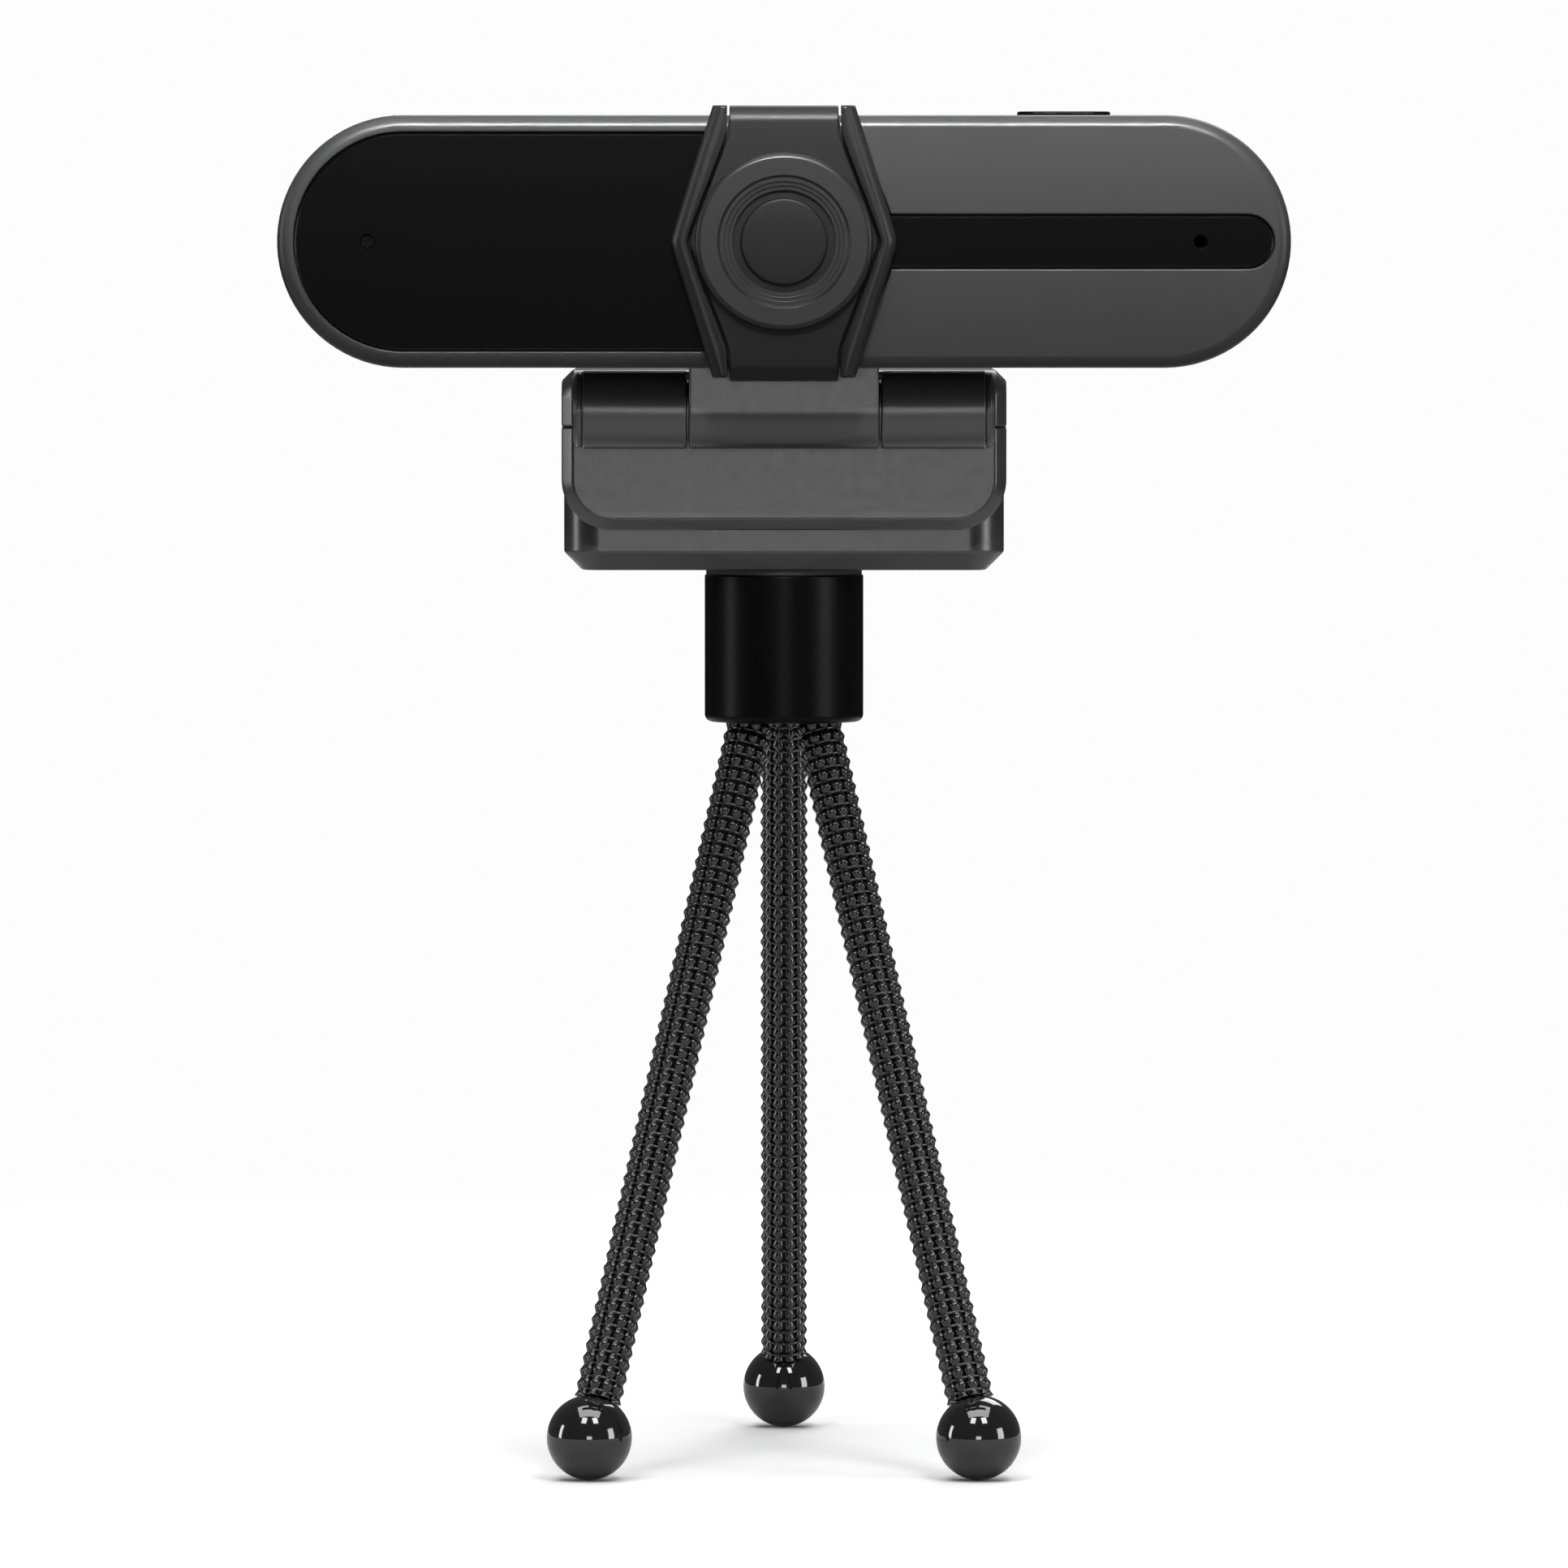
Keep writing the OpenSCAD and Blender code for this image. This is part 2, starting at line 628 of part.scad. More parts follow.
module tilt_caps() color(CHARCOAL) for (s = [-1, 1]) difference() {
  union() {
    along_x(s * (knuckle_len / 2 - cap_t / 2 - 0.15), tilt_y, tilt_z, cap_t - 0.3, knuckle_d - 0.3);
    along_x(s * (knuckle_len / 2 - 0.2), tilt_y, tilt_z, 0.4, knuckle_d - 1.1);
  }
  along_x(s * (knuckle_len / 2 - cap_t), tilt_y, tilt_z, 0.3, pin_d + 2 * turn);
}

// Thin friction washers in the gaps beside the neck
module tilt_washers() color(STEEL) for (s = [-1, 1]) difference() {
  along_x(s * (neck_w + side_gap) / 2, tilt_y, tilt_z, side_gap - 0.06, knuckle_d - 2);
  along_x(s * (neck_w + side_gap) / 2, tilt_y, tilt_z, 1, pin_d + 2 * turn);
}

panel_back = fold_y + fold_d / 2;
knuckle_half = clip_w / 2 - 8.8;

// Slab with a round nose above the lip and bevelled upper edges
module panel_slab() {
  w = clip_w;
  c = panel_bevel;
  nose_y = lip_y + nose_r;
  hull() {
    span([-w / 2, nose_y, panel_z], [w / 2, panel_back, panel_top - c]);
    span([-w / 2 + c, nose_y, panel_z], [w / 2 - c, panel_back - c, panel_top]);
    span([-w / 2, lip_y + c, panel_z], [w / 2, nose_y, seam_z]);
    span([-w / 2 + c, lip_y, panel_z], [w / 2 - c, nose_y, seam_z]);
    along_x(0, nose_y, panel_top - nose_r, w - 2 * c, 2 * nose_r);
    along_x(0, nose_y, panel_top - nose_r, w, 2 * (nose_r - c));
  }
}

pad_y0 = tongue_y + clip_wall;
pad_y1 = foot_back - 1;
pad_half = clip_w / 2 - clip_wall - 1.2;
pad_plate_t = 1.2;

module clip_panel() color(CHARCOAL) difference() {
  union() {
    panel_slab();
    // Knuckle that turns on the fold pin
    along_x(0, fold_y, fold_z, 2 * knuckle_half, fold_d);
    span([-knuckle_half, fold_y - fold_d / 2, fold_z], [knuckle_half, fold_y + fold_d / 2, panel_z + 1]);
  }
  // Hollow for the pad's plate, and room for the bracket
  span([-pad_half - nest, pad_y0 - nest, panel_z - past],
    [pad_half + nest, pad_y1 + nest, panel_z + pad_plate_t + nest]);
  span([-pad_half + 1, pad_y0 + 1, panel_z], [pad_half - 1, pad_y1 - 1, panel_top - clip_wall]);
  arms(nest);
  tongue(nest);
  span([-clip_w, lip_y - past, panel_z - 3 * past], [clip_w, lip_y + lip_t + nest, seam_z + 0.05]);
  along_x(0, fold_y, fold_z, clip_w + past, pin_d + 2 * turn);
  for (s = [-1, 1]) translate([s * panel_screw_x, tongue_y - 2, panel_z - past]) {
    cylinder(h = past + 1, d = 2.8, $fn = 32);
    cylinder(h = tongue_z - panel_z + past, d = 1.6, $fn = 32);
  }
}

module panel_pad() color(BLACK) {
  y_mid = (pad_y0 + pad_y1) / 2;
  span([-pad_half, pad_y0, panel_z], [pad_half, pad_y1, panel_z + pad_plate_t]);
  translate([0, y_mid, panel_z - pad_rise]) linear_extrude(pad_rise + 0.01)
    round_rect(2 * pad_half - 1, pad_y1 - pad_y0 - 1, 2.5);
}

module panel_screws() color(STEEL)
  for (s = [-1, 1]) translate([s * panel_screw_x, tongue_y - 2, panel_z + 0.2]) difference() {
    union() {
      cylinder(h = 0.7, d = 2.6, $fn = 48);
      cylinder(h = tongue_z + 1.8 - panel_z, d = 1.2, $fn = 32);
    }
    translate([-0.2, -1, -past]) cube([0.4, 2, past + 0.35]);
    translate([-1, -0.2, -past]) cube([2, 0.4, past + 0.35]);
  }

module fold_pin() color(STEEL) along_x(0, fold_y, fold_z, clip_w - 4.4, pin_d);

lug_x = clip_w / 2 - 2;

module fold_caps() color(CHARCOAL) for (s = [-1, 1]) {
  along_x(s * (lug_x + 0.35), fold_y, fold_z, 0.6, fold_d - 0.2);
  along_x(s * (lug_x + 0.75), fold_y, fold_z, 0.4, fold_d - 1);
}

foot_mid = foot_y + foot_depth / 2;
corner_r = 4;

module foot_block(g, z0, z1, c) hull() {
  w = clip_w - 0.3 - 2 * g;
  d = foot_depth - 2 * g;
  r = corner_r - min(g, 2);
  translate([0, foot_mid, z0 + c]) linear_extrude(z1 - z0 - c) round_rect(w, d, r);
  translate([0, foot_mid, z0]) linear_extrude(0.1) round_rect(w - 2 * c, d - 2 * c, max(r - c, 1));
}

plate_rebate = 1.6;
screw_x = clip_w / 2 - 7;
screw_y = foot_depth / 2 - 6;
insert_h = foot_h - plate_rebate - 1.2;

module foot_shell() color(CHARCOAL) difference() {
  union() {
    difference() {
      foot_block(0, foot_z, foot_top, foot_bevel);
      foot_block(clip_wall, foot_z + clip_wall, foot_top + past, 0.5);
    }
    translate([0, 0, foot_z + 1]) cylinder(h = insert_h - 1.1, d = 14, $fn = 64);
    for (sx = [-1, 1], sy = [-1, 1])
      translate([sx * screw_x, foot_mid + sy * screw_y, foot_z + 1])
        cylinder(h = foot_h - plate_rebate - 1.05, d = 5, $fn = 48);
    // Lugs that hold the fold pin
    for (s = [-1, 1]) {
      x = s * (knuckle_half + side_gap + lug_x) / 2;
      w = lug_x - knuckle_half - side_gap;
      along_x(x, fold_y, fold_z, w, fold_d);
      translate([x - w / 2, 0, 0]) rotate([90, 0, 90]) linear_extrude(w)
        polygon([[foot_back - 1, fold_z + fold_d / 2 - 1.2], [fold_y, fold_z + fold_d / 2],
          [fold_y, fold_z - fold_d / 2], [foot_back - 1, fold_z - fold_d / 2 - 3]]);
    }
  }
  translate([0, 0, foot_z - past]) cylinder(h = foot_h + 2 * past, d = 10 + 2 * nest, $fn = 64);
  along_x(0, fold_y, fold_z, clip_w + past, pin_d + 2 * turn);
  for (sx = [-1, 1], sy = [-1, 1]) translate([sx * screw_x, foot_mid + sy * screw_y, foot_z]) {
    translate([0, 0, -past]) cylinder(h = foot_h + past, d = 2.2, $fn = 32);
    translate([0, 0, -past]) cylinder(h = past + 1.6, d = 4.2, $fn = 48);
  }
}

module foot_pad() color(BLACK) {
  w = clip_w - 0.3 - 2 * clip_wall - 2 * 0.35;
  d = foot_depth - 2 * clip_wall - 2 * 0.35;
  difference() {
    translate([0, foot_mid, foot_top - plate_rebate]) linear_extrude(plate_rebate + pad_rise)
      round_rect(w, d, 2.4);
    for (sx = [-1, 1], sy = [-1, 1])
      translate([sx * screw_x, foot_mid + sy * screw_y, foot_top - plate_rebate - past])
        cylinder(h = past + 1.3, d = 1.9, $fn = 32);
  }
}

module thread_insert() color([0.8, 0.65, 0.3]) difference() {
  translate([0, 0, foot_z + 0.05]) cylinder(h = insert_h - 0.05, d = 10, $fn = 64);
  translate([0, 0, foot_z - past]) cylinder(h = stud_len + 1 + past, d = stud_d + 0.2, $fn = 64);
}

module foot_screws() color(STEEL)
  for (sx = [-1, 1], sy = [-1, 1]) translate([sx * screw_x, foot_mid + sy * screw_y, foot_z]) difference() {
    union() {
      translate([0, 0, 0.2]) cylinder(h = 1.35, d = 3.9, $fn = 48);
      translate([0, 0, 1.5]) cylinder(h = foot_h - plate_rebate - 0.4, d = 1.7, $fn = 32);
    }
    translate([-0.25, -1.4, -past]) cube([0.5, 2.8, past + 0.8]);
    translate([-1.4, -0.25, -past]) cube([2.8, 0.5, past + 0.8]);
  }

// ---- Tripod ----

pad_disc_t = 0.6;
plate_h = 7;

// Half section of the collar, with its lower edge rounded
module collar_section() {
  r = collar_d / 2;
  f = 0.8;
  top = collar_h - pad_disc_t - 0.02;
  translate([0, f]) square([r, top - f]);
  square([r - f, f + 0.01]);
  translate([r - f, f]) intersection() {
    circle(r = f, $fn = 48);
    translate([0, -f]) square([f, f + 0.01]);
  }
}

module tripod_collar() color(BLACK) difference() {
  translate([0, 0, collar_z]) rotate_extrude($fn = 96) collar_section();
  translate([0, 0, collar_z - past])
    cylinder(h = plate_h + nest + past, r = collar_d / 2 - collar_wall, $fn = 96);
  translate([0, 0, collar_z]) cylinder(h = collar_h + past, d = stud_d + 2 * nest, $fn = 64);
  translate([0, 0, collar_z])
    cylinder(h = plate_h + stud_head_t + 3 * nest, d = stud_head_d + 4 * nest, $fn = 64);
}

module head_pad() color([0.22, 0.22, 0.22]) difference() {
  translate([0, 0, foot_z - pad_disc_t])
    cylinder(h = pad_disc_t - 0.03, r = collar_d / 2 - 0.15, $fn = 96);
  translate([0, 0, foot_z - past]) cylinder(h = 2 * past, d = stud_d + 2 * nest, $fn = 64);
}

// Quarter-inch camera screw: rings stand for its thread
module tripod_stud() color(STEEL) {
  head_z = collar_z + plate_h + nest + 0.1;
  pitch = 1.27;
  shank_z = head_z + stud_head_t - 0.01;
  translate([0, 0, head_z]) cylinder(h = stud_head_t, d = stud_head_d, $fn = 64);
  translate([0, 0, shank_z]) cylinder(h = foot_z - shank_z + 0.3, d = stud_d, $fn = 64);
  translate([0, 0, foot_z + 0.29]) cylinder(h = stud_len - 0.3, d = stud_d - 1.2, $fn = 64);
  for (i = [0:3]) translate([0, 0, foot_z + 0.6 + i * pitch]) {
    cylinder(h = 0.5, d1 = stud_d - 1.2, d2 = stud_d, $fn = 64);
    translate([0, 0, 0.5]) cylinder(h = 0.5, d1 = stud_d, d2 = stud_d - 1.2, $fn = 64);
  }
}

// Places a child along leg i: its origin at the leg's root and its +Z down the leg
module on_leg(i) {
  root = [root_r * cos(root_angles[i]), root_r * sin(root_angles[i])];
  v = feet[i] - root;
  translate([root[0], root[1], collar_z]) rotate([0, 180 - leg_lean, atan2(v[1], v[0])]) children();
}

module leg_plate() color([0.2, 0.2, 0.2]) difference() {
  translate([0, 0, collar_z + 0.05])
    cylinder(h = plate_h - 0.05, r = collar_d / 2 - collar_wall - nest, $fn = 96);
  for (i = [0:2]) on_leg(i) translate([0, 0, -4.5]) cylinder(h = 8, d = core_d + 2 * nest, $fn = 48);
}

// A round barrel across the core at a bend, which turns about its own axis
module bend_barrel(z, w, d) translate([0, 0, z]) rotate([90, 0, 0])
  cylinder(h = w, d = d, center = true, $fn = 48);

// Barrels are as wide as the sleeve's bore lets them be
bore_d = core_d + 3 * nest;
barrel_w = sqrt(pow(bore_d - nest / 5, 2) - pow(core_d, 2));
core_start = 4.4;

// Fixed ends of the three bendable cores, each with a barrel at its first bend
module leg_stubs() color(STEEL) for (i = [0:2]) on_leg(i) {
  translate([0, 0, -core_start]) cylinder(h = core_start + root_pivot, d = core_d, $fn = 48);
  bend_barrel(root_pivot, barrel_w, core_d);
}

// Sharpest bend of a leg, in degrees, at which the next stretch still clears the one above it
bend_max = 60;
cup_d = core_d + 2 * turn;
joint_gap = cup_d / 2 * sin(bend_max);

// A stretch of core from one bend to the next, cupped round the barrel before it
module core_stretch(z0, z1) difference() {
  translate([0, 0, z0 + joint_gap]) cylinder(h = z1 - z0 - joint_gap, d = core_d, $fn = 48);
  bend_barrel(z0, core_d + past, cup_d);
}

module core_upper(i) color(STEEL) on_leg(i) {
  core_stretch(root_pivot, mid_pivot);
  bend_barrel(mid_pivot, barrel_w, core_d);
}

core_end = 2.6;

module core_lower(i) color(STEEL) on_leg(i) core_stretch(mid_pivot, leg_len - ball_r + core_end);

module sleeve(i) color(BLACK) difference() {
  on_leg(i) difference() {
    translate([0, 0, -core_start]) cylinder(h = leg_len + core_start, d = sleeve_d, $fn = 64);
    translate([0, 0, -core_start - past]) cylinder(h = leg_len + core_start + 2 * past, d = bore_d, $fn = 64);
    translate([0, 0, leg_len]) sphere(r = ball_r + 0.05, $fn = 64);
  }
  translate([0, 0, collar_z - 0.05]) cylinder(h = 20, d = 3 * collar_d, $fn = 48);
}

module ball(i) color(BLACK) on_leg(i) difference() {
  translate([0, 0, leg_len]) sphere(r = ball_r, $fn = 96);
  translate([0, 0, leg_len - ball_r - past])
    cylinder(h = core_end + past + 2 * nest, d = core_d + 2 * nest, $fn = 48);
}

front_bezel();
front_insert();
lens_ring();
lens_window();
lens_faceplate();
lens_barrel();
lens_hood();
front_element();
rear_element();
lens_holder();
ir_filter();
image_sensor();
main_board();
board_screws();
microphone();
mic_gasket();
status_led();
light_pipe();
button_switch();
rear_shell();
neck();
neck_screws();
cable_gland();
top_button();
cover_frame();
cover_strap();
cover_ring();
cover_cap();
clip_bracket();
lip_pad();
tilt_pin();
tilt_caps();
tilt_washers();
clip_panel();
panel_pad();
panel_screws();
fold_pin();
fold_caps();
foot_shell();
foot_pad();
thread_insert();
foot_screws();
tripod_collar();
head_pad();
tripod_stud();
leg_plate();
leg_stubs();
core_upper(0);  // core_upper_left
core_lower(0);  // core_lower_left
sleeve(0);  // sleeve_left
ball(0);  // ball_left
core_upper(1);  // core_upper_right
core_lower(1);  // core_lower_right
sleeve(1);  // sleeve_right
ball(1);  // ball_right
core_upper(2);  // core_upper_rear
core_lower(2);  // core_lower_rear
sleeve(2);  // sleeve_rear
ball(2);  // ball_rear
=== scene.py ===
import json
import math

import bmesh
import bpy
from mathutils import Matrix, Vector


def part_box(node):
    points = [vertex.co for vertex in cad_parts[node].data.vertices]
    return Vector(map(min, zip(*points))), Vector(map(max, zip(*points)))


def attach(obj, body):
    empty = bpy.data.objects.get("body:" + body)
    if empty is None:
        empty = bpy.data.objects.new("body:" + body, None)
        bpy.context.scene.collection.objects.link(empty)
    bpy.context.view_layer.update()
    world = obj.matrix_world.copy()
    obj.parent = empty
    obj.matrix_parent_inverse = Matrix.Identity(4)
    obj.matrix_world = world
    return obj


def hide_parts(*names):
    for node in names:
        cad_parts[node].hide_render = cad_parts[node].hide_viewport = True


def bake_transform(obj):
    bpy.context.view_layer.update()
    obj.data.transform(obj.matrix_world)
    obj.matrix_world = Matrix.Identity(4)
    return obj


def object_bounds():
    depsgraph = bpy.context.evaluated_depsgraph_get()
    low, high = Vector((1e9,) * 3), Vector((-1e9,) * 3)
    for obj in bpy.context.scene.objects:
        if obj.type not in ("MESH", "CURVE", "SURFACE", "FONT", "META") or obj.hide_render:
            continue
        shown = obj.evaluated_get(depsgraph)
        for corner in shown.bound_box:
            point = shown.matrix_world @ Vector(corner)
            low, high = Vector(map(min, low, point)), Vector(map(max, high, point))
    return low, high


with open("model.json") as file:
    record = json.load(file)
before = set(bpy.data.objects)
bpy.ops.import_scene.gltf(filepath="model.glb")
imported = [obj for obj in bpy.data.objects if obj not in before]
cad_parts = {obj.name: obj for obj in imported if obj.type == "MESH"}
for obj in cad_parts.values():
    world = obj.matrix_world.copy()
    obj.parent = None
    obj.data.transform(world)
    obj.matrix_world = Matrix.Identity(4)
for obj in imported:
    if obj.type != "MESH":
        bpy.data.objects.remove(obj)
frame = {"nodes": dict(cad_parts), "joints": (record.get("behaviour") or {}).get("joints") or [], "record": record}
CAD_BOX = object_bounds()

MM = 0.001
SIDES = ("left", "right", "rear")


# ---- Places, read from the frame ----

def corners(node):
    low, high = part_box(node)
    return Vector(low), Vector(high)


def middle(node):
    low, high = corners(node)
    return (low + high) / 2


JOINTS = {joint["name"]: joint for joint in frame["joints"]}
LENS = middle("lens_ring")
BODY_LOW, BODY_HIGH = corners("front_bezel")


# ---- Camera, lights and floor ----

CAMERA_DISTANCE = 1.4
VIEW_HEIGHT = 0.172          # metres of the object's plane that the picture shows
SENSOR_WIDTH = 36.0
CLIP_RANGE = (0.05, 50.0)


def make_camera():
    low, high = CAD_BOX
    target = Vector((0.0, 0.0, (low[2] + high[2]) / 2))
    data = bpy.data.cameras.new("camera")
    data.sensor_width = SENSOR_WIDTH
    data.lens = data.sensor_width * CAMERA_DISTANCE / VIEW_HEIGHT
    data.clip_start, data.clip_end = CLIP_RANGE
    camera = bpy.data.objects.new("camera", data)
    camera.location = (0.0, -CAMERA_DISTANCE, LENS.z)
    camera.rotation_euler = (target - camera.location).to_track_quat("-Z", "Y").to_euler()
    bpy.context.collection.objects.link(camera)
    bpy.context.scene.camera = camera
    bpy.context.scene.view_settings.view_transform = "Standard"


def area_light(name, place, aim, size, power, spread_deg=180.0):
    """A soft light at a place; a small spread keeps its beam narrow."""
    data = bpy.data.lights.new(name, "AREA")
    data.shape = "RECTANGLE"
    data.size, data.size_y = size
    data.energy = power
    data.spread = math.radians(spread_deg)
    light = bpy.data.objects.new(name, data)
    light.location = place
    light.rotation_euler = (Vector(aim) - Vector(place)).to_track_quat("-Z", "Y").to_euler()
    light.visible_camera = False
    bpy.context.collection.objects.link(light)


BACKDROP = (0.98, 0.98, 0.98, 1.0)
ROOM_LIGHT = (1.0, 1.0, 1.02, 1.0)
ROOM_STRENGTH = 0.09


def make_world():
    world = bpy.data.worlds.new("studio")
    bpy.context.scene.world = world
    world.use_nodes = True
    tree = world.node_tree
    tree.nodes.clear()
    output = tree.nodes.new("ShaderNodeOutputWorld")
    room = tree.nodes.new("ShaderNodeBackground")
    room.inputs["Color"].default_value = ROOM_LIGHT
    room.inputs["Strength"].default_value = ROOM_STRENGTH
    seen = tree.nodes.new("ShaderNodeBackground")
    seen.inputs["Color"].default_value = BACKDROP
    path = tree.nodes.new("ShaderNodeLightPath")
    mix = tree.nodes.new("ShaderNodeMixShader")
    tree.links.new(path.outputs["Is Camera Ray"], mix.inputs["Fac"])
    tree.links.new(room.outputs["Background"], mix.inputs[1])
    tree.links.new(seen.outputs["Background"], mix.inputs[2])
    tree.links.new(mix.outputs["Shader"], output.inputs["Surface"])


def around(azimuth, elevation, distance, aim):
    """A place seen from aim: azimuth 0 is in front of the object, and turns to its right."""
    a, e = math.radians(azimuth), math.radians(elevation)
    return (aim[0] + distance * math.sin(a) * math.cos(e),
            aim[1] - distance * math.cos(a) * math.cos(e),
            aim[2] + distance * math.sin(e))


LIGHT_AIM = (0.0, 0.0, 0.07)
BEAM_RISE = 0.04             # how far above the camera the narrow beam is aimed


def make_lights():
    """Azimuth, elevation and distance of each light from its aim; then its size and power."""
    centre = LIGHT_AIM
    over_head = (0.0, BODY_LOW.y, BODY_HIGH.z + BEAM_RISE)
    area_light("softbox_left", around(-20, 48, 1.0, centre), centre, (0.22, 0.3), 1.6)
    area_light("softbox_right", around(22, 48, 1.0, centre), centre, (0.22, 0.3), 1.8)
    area_light("top_light", around(0, 82, 1.1, centre), centre, (1.0, 0.8), 8.0)
    area_light("front_card", around(0, 0, 1.3, centre), centre, (0.3, 0.24), 1.05)
    area_light("head_beam", around(0, 30, 0.4, over_head), over_head, (0.3, 0.06), 0.4, 13.0)
    area_light("side_right", around(62, 6, 1.0, centre), centre, (0.3, 0.5), 2.4)
    area_light("side_left", around(-84, 6, 0.9, centre), centre, (0.14, 0.5), 1.4)
    area_light("rear_light", around(165, 42, 1.2, centre), centre, (0.7, 0.5), 4.0)


# ---- Mesh helpers ----

CORNER_STEPS = 6
SMALLEST_RADIUS = 1e-6       # mm; a ring smaller than this is a single point


def arc_corner(before, corner, after, radius):
    """Points of a round corner between two straight runs."""
    a, b = Vector(before) - Vector(corner), Vector(after) - Vector(corner)
    half = a.angle(b) / 2
    reach = min(radius / math.tan(half), 0.49 * a.length, 0.49 * b.length)
    start, end = Vector(corner) + a.normalized() * reach, Vector(corner) + b.normalized() * reach
    centre = Vector(corner) + (a.normalized() + b.normalized()).normalized() * (reach / math.cos(half))
    points = []
    for k in range(CORNER_STEPS + 1):
        spoke = (start - centre).lerp(end - centre, k / CORNER_STEPS).normalized()
        points.append(centre + spoke * (start - centre).length)
    return points


def rounded(points, radii, closed=True):
    """A polyline with each corner rounded by its own radius; 0 keeps it sharp."""
    made = []
    for i, point in enumerate(points):
        if radii[i] <= 0 or (not closed and i in (0, len(points) - 1)):
            made.append(Vector(point))
        else:
            made.extend(arc_corner(points[i - 1], point, points[(i + 1) % len(points)], radii[i]))
    return made


def lathe(bm, profile, place, segments):
    """Turns a closed profile of (radius, depth) round a line; place(radius, angle, depth) gives a point."""
    rings = []
    for radius, depth in profile:
        if radius < SMALLEST_RADIUS:
            rings.append([bm.verts.new(place(0.0, 0.0, depth))])
        else:
            rings.append([bm.verts.new(place(radius, 2 * math.pi * j / segments, depth))
                          for j in range(segments)])
    for i, ring in enumerate(rings):
        other = rings[(i + 1) % len(rings)]
        if len(ring) == 1 and len(other) == 1:
            continue
        for j in range(segments):
            k = (j + 1) % segments
            quad = [ring[j % len(ring)], other[j % len(other)], other[k % len(other)], ring[k % len(ring)]]
            bm.faces.new(list(dict.fromkeys(quad)))


def loft(bm, rings, closed=False):
    """Skins a row of rings, each a closed loop of points; capped at its ends, or closed on itself."""
    made = [[bm.verts.new(point) for point in ring] for ring in rings]
    count = len(made[0])
    pairs = list(zip(made, made[1:])) + ([(made[-1], made[0])] if closed else [])
    for a, b in pairs:
        for j in range(count):
            k = (j + 1) % count
            bm.faces.new([a[j], a[k], b[k], b[j]])
    if not closed:
        bm.faces.new(made[0][::-1])
        bm.faces.new(made[-1])


def spread(low, high, count):
    return [low + (high - low) * k / count for k in range(count + 1)]


SAME_PLACE = 1e-7            # metres; points closer than this are one point
NORMAL_WEIGHT = 60


def finished(name, bm, slot_name, materials):
    """Makes an object of a bmesh, with clean shading."""
    bmesh.ops.remove_doubles(bm, verts=bm.verts, dist=SAME_PLACE)
    bmesh.ops.recalc_face_normals(bm, faces=bm.faces)
    mesh = bpy.data.meshes.new(name)
    bm.to_mesh(mesh)
    bm.free()
    obj = bpy.data.objects.new(name, mesh)
    bpy.context.collection.objects.link(obj)
    mesh.polygons.foreach_set("use_smooth", [True] * len(mesh.polygons))
    mesh.materials.append(materials[slot_name])
    clean_normals(obj)
    return obj


def clean_normals(obj):
    weighted = obj.modifiers.new("normals", "WEIGHTED_NORMAL")
    weighted.mode = "FACE_AREA"
    weighted.weight = NORMAL_WEIGHT
    weighted.keep_sharp = False


# ---- Materials ----

